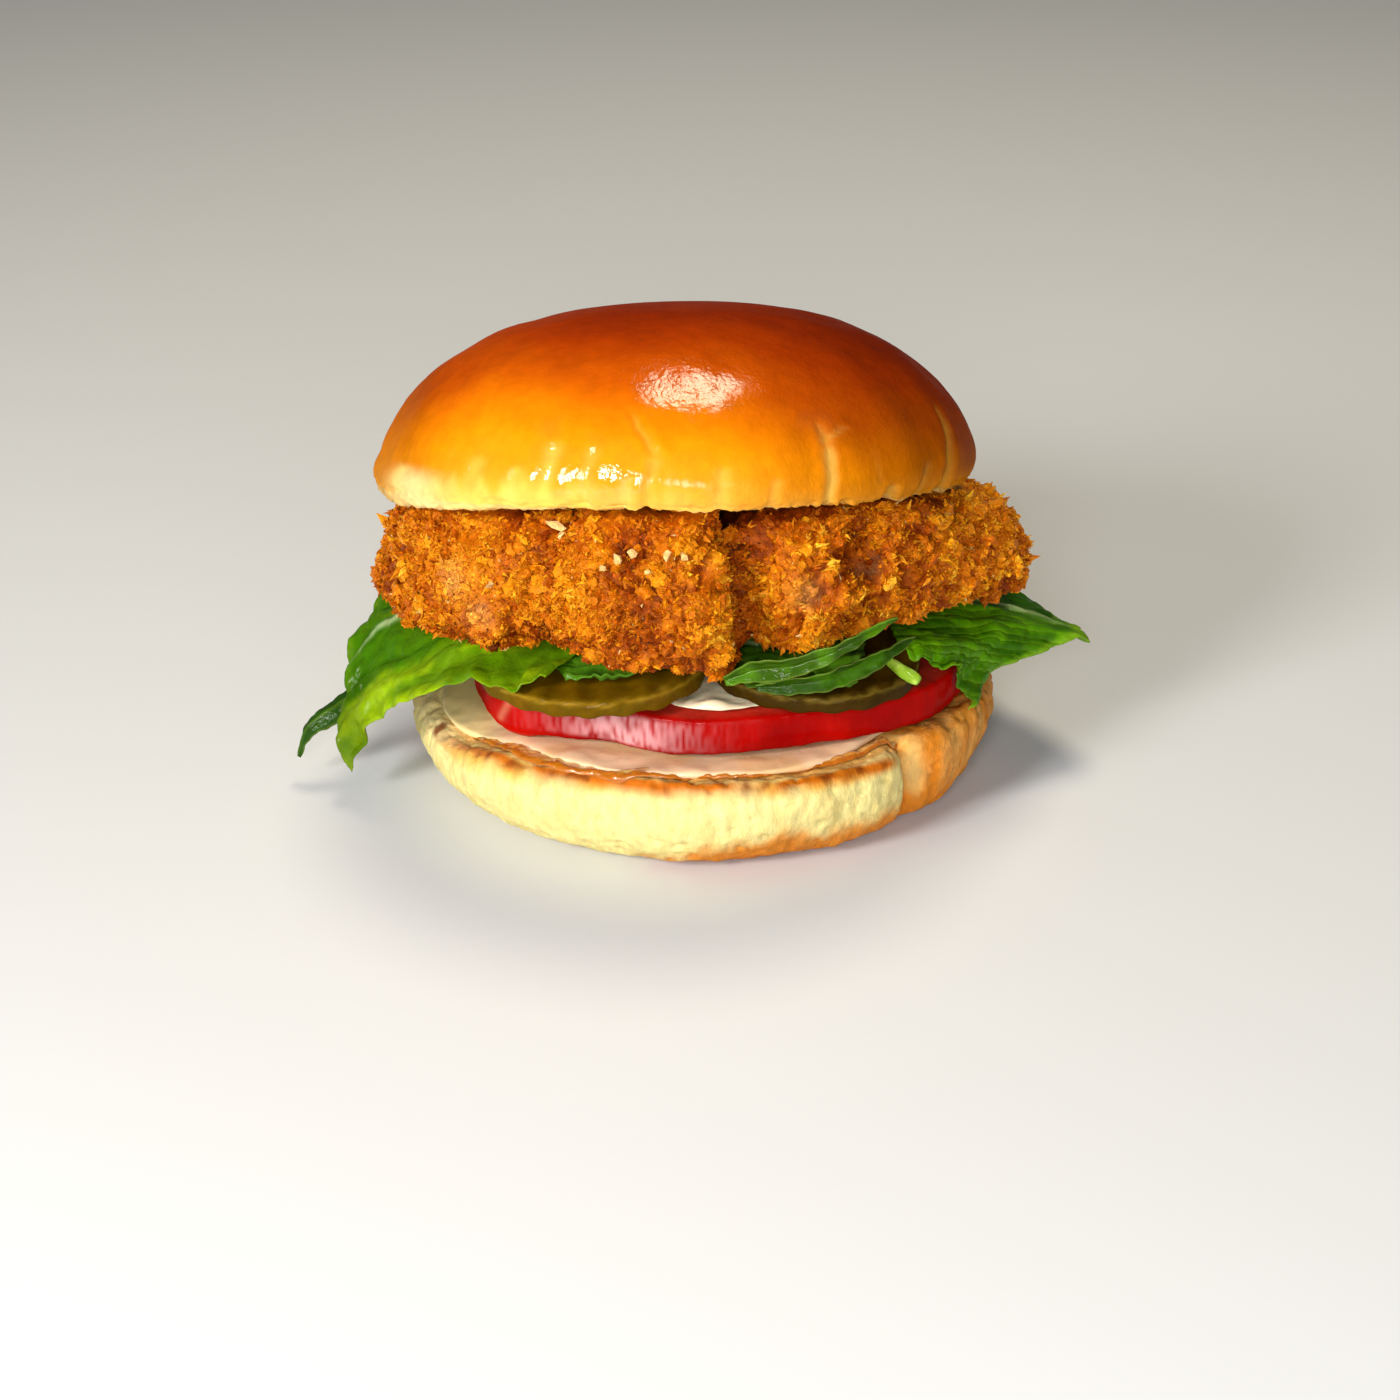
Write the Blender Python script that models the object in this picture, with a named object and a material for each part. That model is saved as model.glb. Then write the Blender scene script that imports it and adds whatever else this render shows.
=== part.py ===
"""Fried chicken burger: toasted bun halves, pink sauce, tomato, mayonnaise, crinkle-cut pickle slices,
lettuce leaves and one craggy breaded chicken fillet, stacked from the bottom up.

Lengths are millimetres here and metres in Blender. The origin is the centre of the lower bun's flat base,
+X is the burger's right, -Y its front and +Z is up. Each food layer is one closed object. Neighbours keep
a small gap, so that none of them overlap.
"""

import math

import bpy
import numpy as np
from mathutils import Vector, noise
from mathutils.bvhtree import BVHTree

MM = 0.001
ROOT_NAME = "chicken_burger"
GAP = 0.38
NODE_LOOKS = {
    # colour and roughness of each layer
    "bun_bottom": ((0.80, 0.55, 0.20), 0.65),
    "sauce": ((0.85, 0.50, 0.32), 0.25),
    "tomato": ((0.62, 0.04, 0.02), 0.15),
    "mayo": ((0.85, 0.80, 0.68), 0.3),
    "pickle_left": ((0.36, 0.34, 0.03), 0.3),
    "pickle_right": ((0.36, 0.34, 0.03), 0.3),
    "bun_top": ((0.62, 0.28, 0.05), 0.3),
    "chicken": ((0.62, 0.24, 0.04), 0.7),
    "lettuce_center": ((0.03, 0.13, 0.02), 0.35),
    "lettuce_front": ((0.07, 0.24, 0.02), 0.35),
    "lettuce_curl": ((0.07, 0.24, 0.02), 0.35),
    "lettuce_left": ((0.16, 0.36, 0.02), 0.35),
    "lettuce_right": ((0.16, 0.36, 0.02), 0.35),
    "lettuce_strip_long": ((0.16, 0.36, 0.02), 0.35),
    "lettuce_strip_short": ((0.07, 0.24, 0.02), 0.35),
    "lettuce_rib": ((0.45, 0.60, 0.12), 0.35),
}

# Lower bun
HEEL_RADIUS = 51.0
HEEL_SEGMENTS = 62
HEEL_WIDEST_HEIGHT = 12.2
HEEL_PROFILE = (
    # share of the radius, height
    (0.8, 0.0),
    (0.885, 1.1),
    (0.95, 4.2),
    (0.99, 8.2),
    (1.0, HEEL_WIDEST_HEIGHT),
    (0.99, 15.4),
    (0.955, 17.2),
    (0.88, 16.3),
    (0.6, 15.6),
    (0.3, 15.4),
)
HEEL_CREASE_AT = -44.0
HEEL_CREASE_DEPTH = 3.6
HEEL_CREASE_WIDTH = 5.0
HEEL_DIP_AT = 196.0
HEEL_DIP = 4.2
HEEL_DIP_WIDTH = 26.0
HEEL_FLAP_AT = -24.0
HEEL_FLAP_HEIGHT = 1.3
HEEL_FLAP_WIDTH = 7.0
HEEL_UNEVEN = 1.1
HEEL_UNEVEN_SIZE = 22.0
HEEL_DIMPLE = 0.35
HEEL_DIMPLE_SIZE = 9.0

# Pink sauce on the lower bun, its outline as (degrees, radius) round the origin
SAUCE_OUTLINE = (
    (0, 43), (30, 41), (60, 43), (90, 42), (120, 44), (150, 42), (180, 45), (196, 47), (212, 46.5),
    (228, 45), (244, 46.8), (258, 47.2), (272, 45.5), (288, 46.4), (302, 44.6), (316, 41.6), (330, 43.6),
    (345, 44),
)
SAUCE_SEGMENTS = 52
SAUCE_TOP = 17.6
SAUCE_LIP = 1.15
SAUCE_RINGS = (
    # share of the outline, height over the bun, 1 on the upper face
    (0.42, 0.0, 0),
    (0.66, 0.0, 0),
    (0.87, 0.0, 0),
    (0.97, 0.1, 0),
    (1.0, 0.5, 0),
    (0.965, 0.0, 1),
    (0.9, 0.0, 1),
    (0.66, 0.0, 1),
)

# Tomato slice, its outline as (degrees, radius) round its own centre
TOMATO_CENTER = (3.0, 0.0)
TOMATO_OUTLINE = (
    (0, 43.5), (30, 42.5), (60, 43), (90, 42.5), (120, 43), (150, 42.5), (180, 43.2), (200, 44.6),
    (214, 46.6), (222, 47.2), (230, 43.4), (241, 40.8), (252, 41.4), (261, 42.2), (279, 40.8),
    (296, 41), (312, 43.6), (322, 45.2), (337, 44.6),
)
TOMATO_SEGMENTS = 64
TOMATO_BOTTOM = 18.0
TOMATO_TOP = 26.0
TOMATO_BEVEL = 1.3
TOMATO_SAG_AT = (-34.0, -31.0)
TOMATO_SAG = 1.1
TOMATO_SAG_REACH = 15.0

# White mayonnaise between the tomato and the pickles
MAYO_CENTER = (4.0, -27.0)
MAYO_OUTLINE = (
    (0, 22), (40, 17), (90, 15), (140, 17), (180, 16), (225, 14.5), (252, 14.4), (270, 13.4), (288, 12.8),
    (304, 13.8), (320, 15.8), (338, 20.5),
)
MAYO_SEGMENTS = 36
MAYO_THICKNESS = 0.5
MAYO_MOUND = 2.3
MAYO_MOUND_START = 1.3
MAYO_MOUND_REACH = 4.0
MAYO_EDGE = 0.3
MAYO_RINGS = (
    # share of the outline, then 0 on the tomato, 1 on the rounded edge and 2 on top
    (0.6, 0),
    (0.95, 0),
    (1.0, 1),
    (0.93, 2),
    (0.8, 2),
    (0.62, 2),
    (0.35, 2),
)

# Crinkle-cut pickle slices
PICKLE_LEFT_CENTER = (-18.5, -26.5)
PICKLE_LEFT_RADIUS = 19.0
PICKLE_RIGHT_CENTER = (18.7, -26.6)
PICKLE_RIGHT_RADIUS = 17.1
PICKLE_BOTTOM = 27.85
PICKLE_THICKNESS = 3.4
PICKLE_WAVE = 0.36
PICKLE_WAVE_LENGTH = 5.6
PICKLE_STEPS = 40
PICKLE_DROOP = 0.3
PICKLE_BLUNT = 0.9
PICKLE_UNEVEN = 0.02
PICKLE_UNEVEN_SIZE = 4.5
PICKLE_SECTION = (
    # share of the half length from front to back, share of the thickness
    (-1, 0.12),
    (-0.95, 0),
    (0, 0),
    (0.95, 0),
    (1, 0.12),
    (1, 0.88),
    (0.95, 1),
    (0, 1),
    (-0.95, 1),
    (-1, 0.88),
)

# Upper bun: a dome that leans back with its cut face
CROWN_CENTER = (-4.5, -4.0, 53.4)
CROWN_RADIUS = 50.9
CROWN_HEIGHT = 29.4
CROWN_TILT = math.radians(14.1)
CROWN_SIDE = 4.6
CROWN_UNDERSIDE_RING = 0.6
CROWN_INSET = 1.5
CROWN_DROP = 2.0
CROWN_DROP_FROM = -12.0
CROWN_DROP_SPAN = 42.0
CROWN_SEGMENTS = 62
CROWN_RINGS = 8
CROWN_ROUND_OUT = 0.78
CROWN_ROUND_UP = 1.26
CROWN_LEAN = 0.5
CROWN_UNEVEN = 0.022
CROWN_UNEVEN_SIZE = 26.0
CROWN_RIGHT_RISE = 0.03
CROWN_CREASES = (
    # degrees at the foot, degrees at the top, depth, width in degrees, reach up the dome
    (-106.0, -112.0, 0.9, 4.0, 0.85),
    (-63.0, -66.0, 0.8, 3.0, 0.55),
    (-35.0, -30.0, 1.0, 5.0, 0.7),
    (-168.0, -160.0, 0.8, 6.0, 0.6),
    (55.0, 60.0, 0.8, 6.0, 0.7),
    (130.0, 122.0, 0.9, 5.0, 0.75),
)

# Breaded chicken, its outline as (degrees, radius) round the origin
CHICKEN_OUTLINE = (
    (0, 56.2), (12, 56.0), (25, 54.5), (42, 52.5), (60, 51.0), (78, 51.8), (95, 50.5), (112, 51.5),
    (130, 53.0), (150, 54.0), (168, 55.0), (182, 55.8), (194, 56.4), (206, 56.2), (217, 54.8), (228, 52.2),
    (240, 51.4), (252, 51.6), (264, 51.0), (273, 49.4), (281, 44.8), (290, 46.2), (301, 47.2), (309, 45.6),
    (318, 47.2), (330, 50.0), (342, 53.4), (352, 55.8),
)
CHICKEN_SEGMENTS = 116
CHICKEN_ROWS = 12
CHICKEN_SIDE = 9.5
CHICKEN_CROWN_GAP = 1.2
CHICKEN_END_DROP = 3.4
CHICKEN_END_FROM = 38.0
CHICKEN_END_SPAN = 14.0
CHICKEN_TAPER = 3.2
CHICKEN_LOW = 31.6
CHICKEN_FRONT_LIFT = 4.2
CHICKEN_LIFT_START = 8.0
CHICKEN_LIFT_SPAN = 24.0
CHICKEN_SAG_AT = (-50.0, -20.0)
CHICKEN_SAG = 4.4
CHICKEN_SAG_REACH = 11.0
CHICKEN_SQUARE_OUT = 0.62
CHICKEN_SQUARE_UP = 0.9
CHICKEN_CAP_SHARES = (0.68, 0.34)
CHICKEN_LOBE_SIZE = 14.0
CHICKEN_LOBE_DEPTH = 2.6
CHICKEN_CRAG_SIZE = 5.2
CHICKEN_CRAG_DEPTH = 1.9
CHICKEN_CLEFTS = (
    # degrees at the bottom, degrees at the top, depth, width in degrees
    (-77.0, -90.0, 4.4, 5.0),
    (-57.0, -52.0, 1.8, 4.5),
    (-128.0, -120.0, 1.5, 4.0),
    (38.0, 44.0, 2.0, 5.0),
    (112.0, 104.0, 2.2, 5.0),
)

# Lettuce: each leaf is a net of points, from the middle of the burger out and from its back to its front
LEAF_THICKNESS = 0.8
STRIP_THICKNESS = 0.72
STRIP_CUP = 0.12
LEAF_ROOF_CLEARANCE = 1.05
LEAF_FLOOR_CLEARANCE = 0.95
LEAF_WAVES = {
    # rows and columns of the sheet, then the depth, number and phase of its waves
    "lettuce_center": (8, 8, 0.5, 1.5, 0.4),
    "lettuce_front": (10, 8, 0.6, 2.0, 1.1),
    "lettuce_left": (17, 14, 1.0, 2.5, 0.0),
    "lettuce_right": (14, 15, 0.9, 2.5, 2.0),
}
LEAF_LEFT = (
    ((-4, 42, 28.6), (-10, 16, 30.0), (-14, -6, 32.4), (-17, -24, 34.2), (-25.5, -44.0, 33.6)),
    ((-19, 44, 27.8), (-24, 16, 29.6), (-25, -7, 32.2), (-27, -25, 34.2), (-31, -45.0, 33.0)),
    ((-33, 40, 26.8), (-36, 16, 29.2), (-37, -8, 31.6), (-38, -22, 33.2), (-39.5, -39.5, 30.2)),
    ((-46, 33, 26.2), (-48, 14, 28.2), (-49, -8, 28.8), (-49, -20, 27.2), (-50.5, -30, 22.6)),
    ((-52.5, 26, 25.8), (-55, 11, 26.8), (-57, -6, 25.8), (-57, -15, 21.4), (-55.8, -23, 14.5)),
    ((-56, 21, 25.4), (-59, 6, 24.4), (-62, -8, 20.2), (-62.8, -15.5, 13.4), (-61.2, -20.5, 3.2)),
)
LEAF_RIGHT = (
    (
        (2, 43, 28.6), (8, 20, 29.8), (17, 4, 30.4), (29, -5, 31.6), (31, -16, 33.0), (32, -26, 33.2),
        (34, -33, 32.4),
    ),
    (
        (20, 45, 27.4), (27, 24, 29.2), (34, 6, 29.8), (38, -5, 30.4), (38.5, -16, 31.8), (39, -25, 31.6),
        (39, -31, 30.4),
    ),
    (
        (36, 41, 26.2), (43, 23, 27.6), (46, 8, 28.4), (46, -3, 28.8), (46, -12, 28.8), (45, -19, 28.0),
        (42.5, -27.5, 28.2),
    ),
    (
        (49, 33, 22.6), (54, 19, 24.2), (56, 8, 25.8), (55.5, -2, 26.6), (53.5, -9, 26.4), (48.5, -16, 25.2),
        (43.5, -25, 23.2),
    ),
    (
        (53, 24, 18.6), (59, 16, 19.6), (65, 9, 20.8), (69, 1, 21.0), (63, -6, 22.6), (51.5, -15, 22.4),
        (43.6, -24, 18.4),
    ),
)
LEAF_CENTER = (
    ((-24, -22, 32.6), (-25, -29, 32.6), (-24.5, -35, 32.6), (-22, -41, 32.6)),
    ((-16, -21, 32.6), (-16, -28, 32.6), (-16.5, -35, 33.0), (-16.5, -42, 32.8)),
    ((-8, -21, 32.6), (-8, -27, 32.6), (-8, -33, 33.0), (-9, -39, 33.7)),
    ((-1, -21, 32.6), (-1, -26, 32.6), (-1.5, -32, 32.8), (-2.5, -37, 33.4)),
)
LEAF_FRONT = (
    ((2, -12, 32.2), (2, -24, 32.3), (1.5, -33, 32.9), (1.0, -40.5, 32.6)),
    ((10, -9, 32.2), (9, -24, 32.5), (8.5, -34, 33.6), (7, -44.2, 32.2)),
    ((19, -9, 32.2), (18, -24, 32.6), (17, -35, 33.8), (17, -44.6, 32.3)),
    ((28, -11, 32.2), (28, -22, 32.5), (27, -31, 33.2), (25.5, -41.5, 32.6)),
)
# Strips: (x, y, z, width) along the middle of each one, seen from the front
STRIP_LONG = (
    (3.4, -46.0, 34.4, 1.6), (8.0, -46.2, 36.2, 3.8), (14.0, -48.2, 37.9, 3.5), (20.0, -48.6, 40.3, 2.8),
    (25.4, -47.0, 42.8, 2.1), (30.8, -43.6, 44.4, 0.8),
)
STRIP_SHORT = (
    (8.5, -45.8, 33.3, 1.4), (13.5, -46.4, 33.8, 3.0), (19.0, -46.2, 34.5, 4.0), (24.4, -43.6, 35.4, 4.2),
    (29.4, -41.0, 36.8, 3.0), (34.0, -38.0, 38.6, 0.9),
)
STRIP_CURL = (
    (-50.5, -7.0, 18.4, 4.0), (-57.0, -8.5, 16.6, 5.0), (-62.0, -10.5, 14.0, 5.0), (-65.6, -12.0, 12.0, 4.2),
    (-68.4, -12.6, 9.6, 3.0), (-70.3, -12.6, 4.6, 0.9),
)
RIB_START = (29.6, -36.6, 34.0)
RIB_END = (34.9, -40.6, 31.9)
RIB_RADII = (1.0, 1.5)
RIB_FLATNESS = 0.75
RIB_SIDES = 10
RIB_RINGS = 4


def clear_scene():
    for obj in list(bpy.data.objects):
        bpy.data.objects.remove(obj, do_unlink=True)


def material(name, color, roughness):
    made = bpy.data.materials.new(name)
    made.use_nodes = True
    shader = made.node_tree.nodes["Principled BSDF"]
    shader.inputs["Base Color"].default_value = (*color, 1.0)
    shader.inputs["Roughness"].default_value = roughness
    return made


def add_root():
    """The empty that carries every layer, at the centre of the lower bun's base."""
    root = bpy.data.objects.new(ROOT_NAME, None)
    bpy.context.scene.collection.objects.link(root)


def add_node(name, points, faces):
    """One food layer as its own mesh object with its origin at its middle, from points in millimetres.
    It returns a search tree of the layer's surface, in millimetres."""
    points = np.asarray(points, float)
    middle = 0.5 * (points.min(axis=0) + points.max(axis=0))
    mesh = bpy.data.meshes.new(name)
    mesh.from_pydata((MM * (points - middle)).tolist(), [], faces)
    mesh.update()
    mesh.materials.append(material(name, *NODE_LOOKS[name]))
    obj = bpy.data.objects.new(name, mesh)
    obj.location = MM * middle
    obj.parent = bpy.data.objects[ROOT_NAME]
    bpy.context.scene.collection.objects.link(obj)
    return BVHTree.FromPolygons(points.tolist(), faces)


def wave(table, degrees):
    """Smooth periodic value at an angle, from rows of (degrees, value)."""
    angles = [row[0] for row in table]
    values = [row[1] for row in table]
    count = len(table)
    angle = degrees % 360.0
    last = max(i for i in range(count) if angles[i] <= angle)
    ahead = (last + 1) % count
    span = (angles[ahead] - angles[last]) % 360.0
    t = (angle - angles[last]) / span
    v0, v1, v2, v3 = (values[(last + k) % count] for k in (-1, 0, 1, 2))
    return 0.5 * (
        2 * v1 + (v2 - v0) * t + (2 * v0 - 5 * v1 + 4 * v2 - v3) * t * t + (3 * v1 - v0 - 3 * v2 + v3) * t**3
    )


def hill(degrees, center, width):
    """A bell of height 1 round an angle."""
    away = (degrees - center + 180.0) % 360.0 - 180.0
    return math.exp(-((away / width) ** 2))


def rough(x, y, z, size, shift=0.0):
    return noise.noise(Vector((x / size + shift, y / size - shift, z / size)))


def crag(x, y, z, size, shift=0.0):
    """Rounded lumps with sharp clefts between them, from 0 in a cleft to about 1."""
    return min(1.0, 2.2 * abs(rough(x, y, z, size, shift)))


def ease(t):
    t = min(1.0, max(0.0, t))
    return t * t * (3.0 - 2.0 * t)


def close_rings(rings, start, end):
    """Triangles over rings of points, which run anticlockwise, from the foot pole to the top pole."""
    count = len(rings[0])
    points = [start] + [p for ring in rings for p in ring] + [end]
    faces = []
    for i in range(count):
        ahead = (i + 1) % count
        faces.append((0, 1 + ahead, 1 + i))
        top = 1 + (len(rings) - 1) * count
        faces.append((len(points) - 1, top + i, top + ahead))
    for row in range(len(rings) - 1):
        low, high = 1 + row * count, 1 + (row + 1) * count
        for i in range(count):
            ahead = (i + 1) % count
            if (row + i) % 2:
                faces += [(low + i, low + ahead, high + ahead), (low + i, high + ahead, high + i)]
            else:
                faces += [(low + i, low + ahead, high + i), (low + ahead, high + ahead, high + i)]
    return points, faces


def turn(index, count):
    """The angle of one segment, in degrees."""
    return 360.0 * index / count


def polar(center, degrees, radius, z):
    angle = math.radians(degrees)
    return (center[0] + radius * math.cos(angle), center[1] + radius * math.sin(angle), z)


def top_of(tree, x, y):
    hit = tree.ray_cast(Vector((x, y, 200.0)), Vector((0, 0, -1)))[0]
    return None if hit is None else hit.z


def foot_of(tree, x, y):
    hit = tree.ray_cast(Vector((x, y, -50.0)), Vector((0, 0, 1)))[0]
    return None if hit is None else hit.z


def heel_point(degrees, share, height):
    """A point of the lower bun; the crease and the sunken rim grow with height."""
    risen = min(1.0, height / HEEL_WIDEST_HEIGHT)
    radius = HEEL_RADIUS * share
    outward = ease((share - 0.6) / 0.3)
    crease = HEEL_CREASE_DEPTH * (0.45 + 0.55 * risen) * hill(degrees, HEEL_CREASE_AT, HEEL_CREASE_WIDTH)
    radius -= outward * crease
    x, y, _ = polar((0, 0), degrees, radius, 0)
    radius += outward * HEEL_UNEVEN * rough(x, y, height, HEEL_UNEVEN_SIZE, 3.1)
    z = height
    if height > 0:
        z -= outward * HEEL_DIP * risen**2 * hill(degrees, HEEL_DIP_AT, HEEL_DIP_WIDTH)
        flap = HEEL_FLAP_HEIGHT * hill(degrees, HEEL_FLAP_AT, HEEL_FLAP_WIDTH)
        z += flap * ease((share - 0.86) / 0.1) * risen**3
        z += HEEL_DIMPLE * risen * rough(x, y, height, HEEL_DIMPLE_SIZE, 7.7)
    return polar((0, 0), degrees, radius, z)


def make_heel():
    rings = [
        [heel_point(turn(i, HEEL_SEGMENTS), share, height) for i in range(HEEL_SEGMENTS)]
        for share, height in HEEL_PROFILE
    ]
    points, faces = close_rings(rings, (0, 0, 0), (0, 0, HEEL_PROFILE[-1][1]))
    return add_node("bun_bottom", points, faces)


def make_sauce(heel, tomato):
    rings = []
    for share, lift, on_top in SAUCE_RINGS:
        ring = []
        for i in range(SAUCE_SEGMENTS):
            degrees = turn(i, SAUCE_SEGMENTS)
            x, y, _ = polar((0, 0), degrees, share * wave(SAUCE_OUTLINE, degrees), 0)
            bed = top_of(heel, x, y) + GAP
            top = min(SAUCE_TOP, bed + SAUCE_LIP) if share > 0.88 else SAUCE_TOP
            top = min(top, (foot_of(tomato, x, y) or 2 * top) - GAP)
            ring.append((x, y, top if on_top else bed + lift))
        rings.append(ring)
    foot = top_of(heel, 0, 0) + GAP
    points, faces = close_rings(rings, (0, 0, foot), (0, 0, SAUCE_TOP))
    return add_node("sauce", points, faces)


def make_tomato():
    rings = []
    levels = (
        (TOMATO_BOTTOM, TOMATO_BEVEL),
        (TOMATO_BOTTOM + TOMATO_BEVEL, 0.1),
        (0.5 * (TOMATO_BOTTOM + TOMATO_TOP), -0.3),
        (TOMATO_TOP - TOMATO_BEVEL * 0.7, 0.0),
        (TOMATO_TOP, TOMATO_BEVEL * 0.7),
    )
    for height, inset in levels:
        ring = []
        for i in range(TOMATO_SEGMENTS):
            degrees = turn(i, TOMATO_SEGMENTS)
            x, y, _ = polar(TOMATO_CENTER, degrees, wave(TOMATO_OUTLINE, degrees) - inset, 0)
            away = math.dist((x, y), TOMATO_SAG_AT) / TOMATO_SAG_REACH
            ring.append((x, y, height - TOMATO_SAG * math.exp(-away * away)))
        rings.append(ring)
    points, faces = close_rings(rings, (*TOMATO_CENTER, TOMATO_BOTTOM), (*TOMATO_CENTER, TOMATO_TOP))
    return add_node("tomato", points, faces)


def past_pickles(x, y):
    """How far a point lies outside both pickle slices."""
    return min(
        math.dist((x, y), PICKLE_LEFT_CENTER) - PICKLE_LEFT_RADIUS,
        math.dist((x, y), PICKLE_RIGHT_CENTER) - PICKLE_RIGHT_RADIUS,
    )


def mayo_top(x, y, bed):
    in_front = y < PICKLE_LEFT_CENTER[1]
    mound = ease((past_pickles(x, y) - MAYO_MOUND_START) / MAYO_MOUND_REACH) if in_front else 0.0
    return bed + MAYO_THICKNESS + MAYO_MOUND * mound


def make_mayo(tomato):
    rings = []
    for share, part in MAYO_RINGS:
        ring = []
        for i in range(MAYO_SEGMENTS):
            degrees = turn(i, MAYO_SEGMENTS)
            x, y, _ = polar(MAYO_CENTER, degrees, share * wave(MAYO_OUTLINE, degrees), 0)
            bed = (top_of(tomato, x, y) or TOMATO_TOP) + GAP
            heights = (bed, bed + MAYO_EDGE, mayo_top(x, y, bed))
            ring.append((x, y, heights[part]))
        rings.append(ring)
    bed = TOMATO_TOP + GAP
    points, faces = close_rings(rings, (*MAYO_CENTER, bed), (*MAYO_CENTER, bed + MAYO_THICKNESS))
    return add_node("mayo", points, faces)


def make_pickle(name, center, radius):
    """Slices across x, each a loop round the slice's section, so that the crinkles run from front to back."""
    loops = []
    for i in range(PICKLE_STEPS + 1):
        across = -math.cos(math.pi * i / PICKLE_STEPS)
        x = center[0] + radius * across * (1 + PICKLE_UNEVEN * rough(i, 0, 0, PICKLE_UNEVEN_SIZE))
        half = radius * math.sqrt(max(0.0, 1.0 - across * across)) + PICKLE_BLUNT
        crinkle = PICKLE_WAVE * math.sin(2 * math.pi * x / PICKLE_WAVE_LENGTH)
        loop = []
        for share, up in PICKLE_SECTION:
            y = center[1] + share * half
            z = PICKLE_BOTTOM + PICKLE_THICKNESS * up + crinkle
            z -= PICKLE_DROOP * ease((-share - 0.5) / 0.5)
            loop.append((x, y, z))
        loops.append(loop)
    count = len(loops[0])
    points = [p for loop in loops for p in loop]
    faces = []
    for i in range(PICKLE_STEPS):
        for k in range(count):
            ahead = (k + 1) % count
            a, b = i * count + k, i * count + ahead
            c, d = a + count, b + count
            faces += [(a, b, c), (b, d, c)]
    last = PICKLE_STEPS * count
    faces += [(0, k + 1, k) for k in range(1, count - 1)]
    faces += [(last, last + k, last + k + 1) for k in range(1, count - 1)]
    return add_node(name, points, faces)


def crown_base(x, y):
    """Height of the upper bun's cut face, carried on beyond its rim."""
    return CROWN_CENTER[2] - (y - CROWN_CENTER[1]) * math.tan(CROWN_TILT) - crown_drop(x)


def crown_drop(x):
    """How far the upper bun's left side hangs."""
    return CROWN_DROP * ease((CROWN_DROP_FROM - x) / CROWN_DROP_SPAN)


def crown_point(degrees, share, height, climb):
    """A point of the upper bun from its own radius share and height, leaned back into place."""
    radius = CROWN_RADIUS * share
    angle = math.radians(degrees)
    for foot, top, depth, width, reach in CROWN_CREASES:
        center = foot + (top - foot) * climb
        fade = ease((reach - climb) / 0.25) * ease((share - 0.3) / 0.2)
        radius -= depth * fade * hill(degrees, center, width)
    across, along = radius * math.cos(angle), radius * math.sin(angle)
    swell = 1.0 + CROWN_UNEVEN * rough(across, along, height, CROWN_UNEVEN_SIZE, 5.3)
    across, along = across * swell + CROWN_LEAN * climb, along * swell
    height *= 1.0 + CROWN_RIGHT_RISE * climb * across / CROWN_RADIUS
    x = CROWN_CENTER[0] + across
    y = CROWN_CENTER[1] + along * math.cos(CROWN_TILT) + height * math.sin(CROWN_TILT)
    z = CROWN_CENTER[2] - along * math.sin(CROWN_TILT) + height * math.cos(CROWN_TILT)
    z -= crown_drop(x) * (1.0 - climb)
    return (x, y, z)


def make_crown():
    inset = CROWN_INSET / CROWN_RADIUS
    profile = [
        (CROWN_UNDERSIDE_RING, 0.0, 0.0),
        (1 - 1.4 * inset, 0.0, 0.0),
        (1 - inset, 0.1 * CROWN_SIDE, 0.0),
        (1 - 0.4 * inset, 0.45 * CROWN_SIDE, 0.0),
    ]
    for row in range(CROWN_RINGS):
        angle = 0.5 * math.pi * row / CROWN_RINGS
        out = math.cos(angle) ** CROWN_ROUND_OUT
        up = math.sin(angle) ** CROWN_ROUND_UP
        profile.append((out, CROWN_SIDE + (CROWN_HEIGHT - CROWN_SIDE) * up, up))
    rings = [
        [crown_point(turn(i, CROWN_SEGMENTS), *row) for i in range(CROWN_SEGMENTS)] for row in profile
    ]
    points, faces = close_rings(rings, CROWN_CENTER, crown_point(0, 0, CROWN_HEIGHT, 1.0))
    return add_node("bun_top", points, faces)


def chicken_low(x, y):
    """Height of the chicken's underside, which climbs over the pickles at the front and sags at the left."""
    start = CHICKEN_LIFT_START * (1.0 - ease((abs(x) - 36.0) / 14.0))
    sag = CHICKEN_SAG * math.exp(-((math.dist((x, y), CHICKEN_SAG_AT) / CHICKEN_SAG_REACH) ** 2))
    return CHICKEN_LOW + CHICKEN_FRONT_LIFT * ease((start - y) / CHICKEN_LIFT_SPAN) - sag


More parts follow.
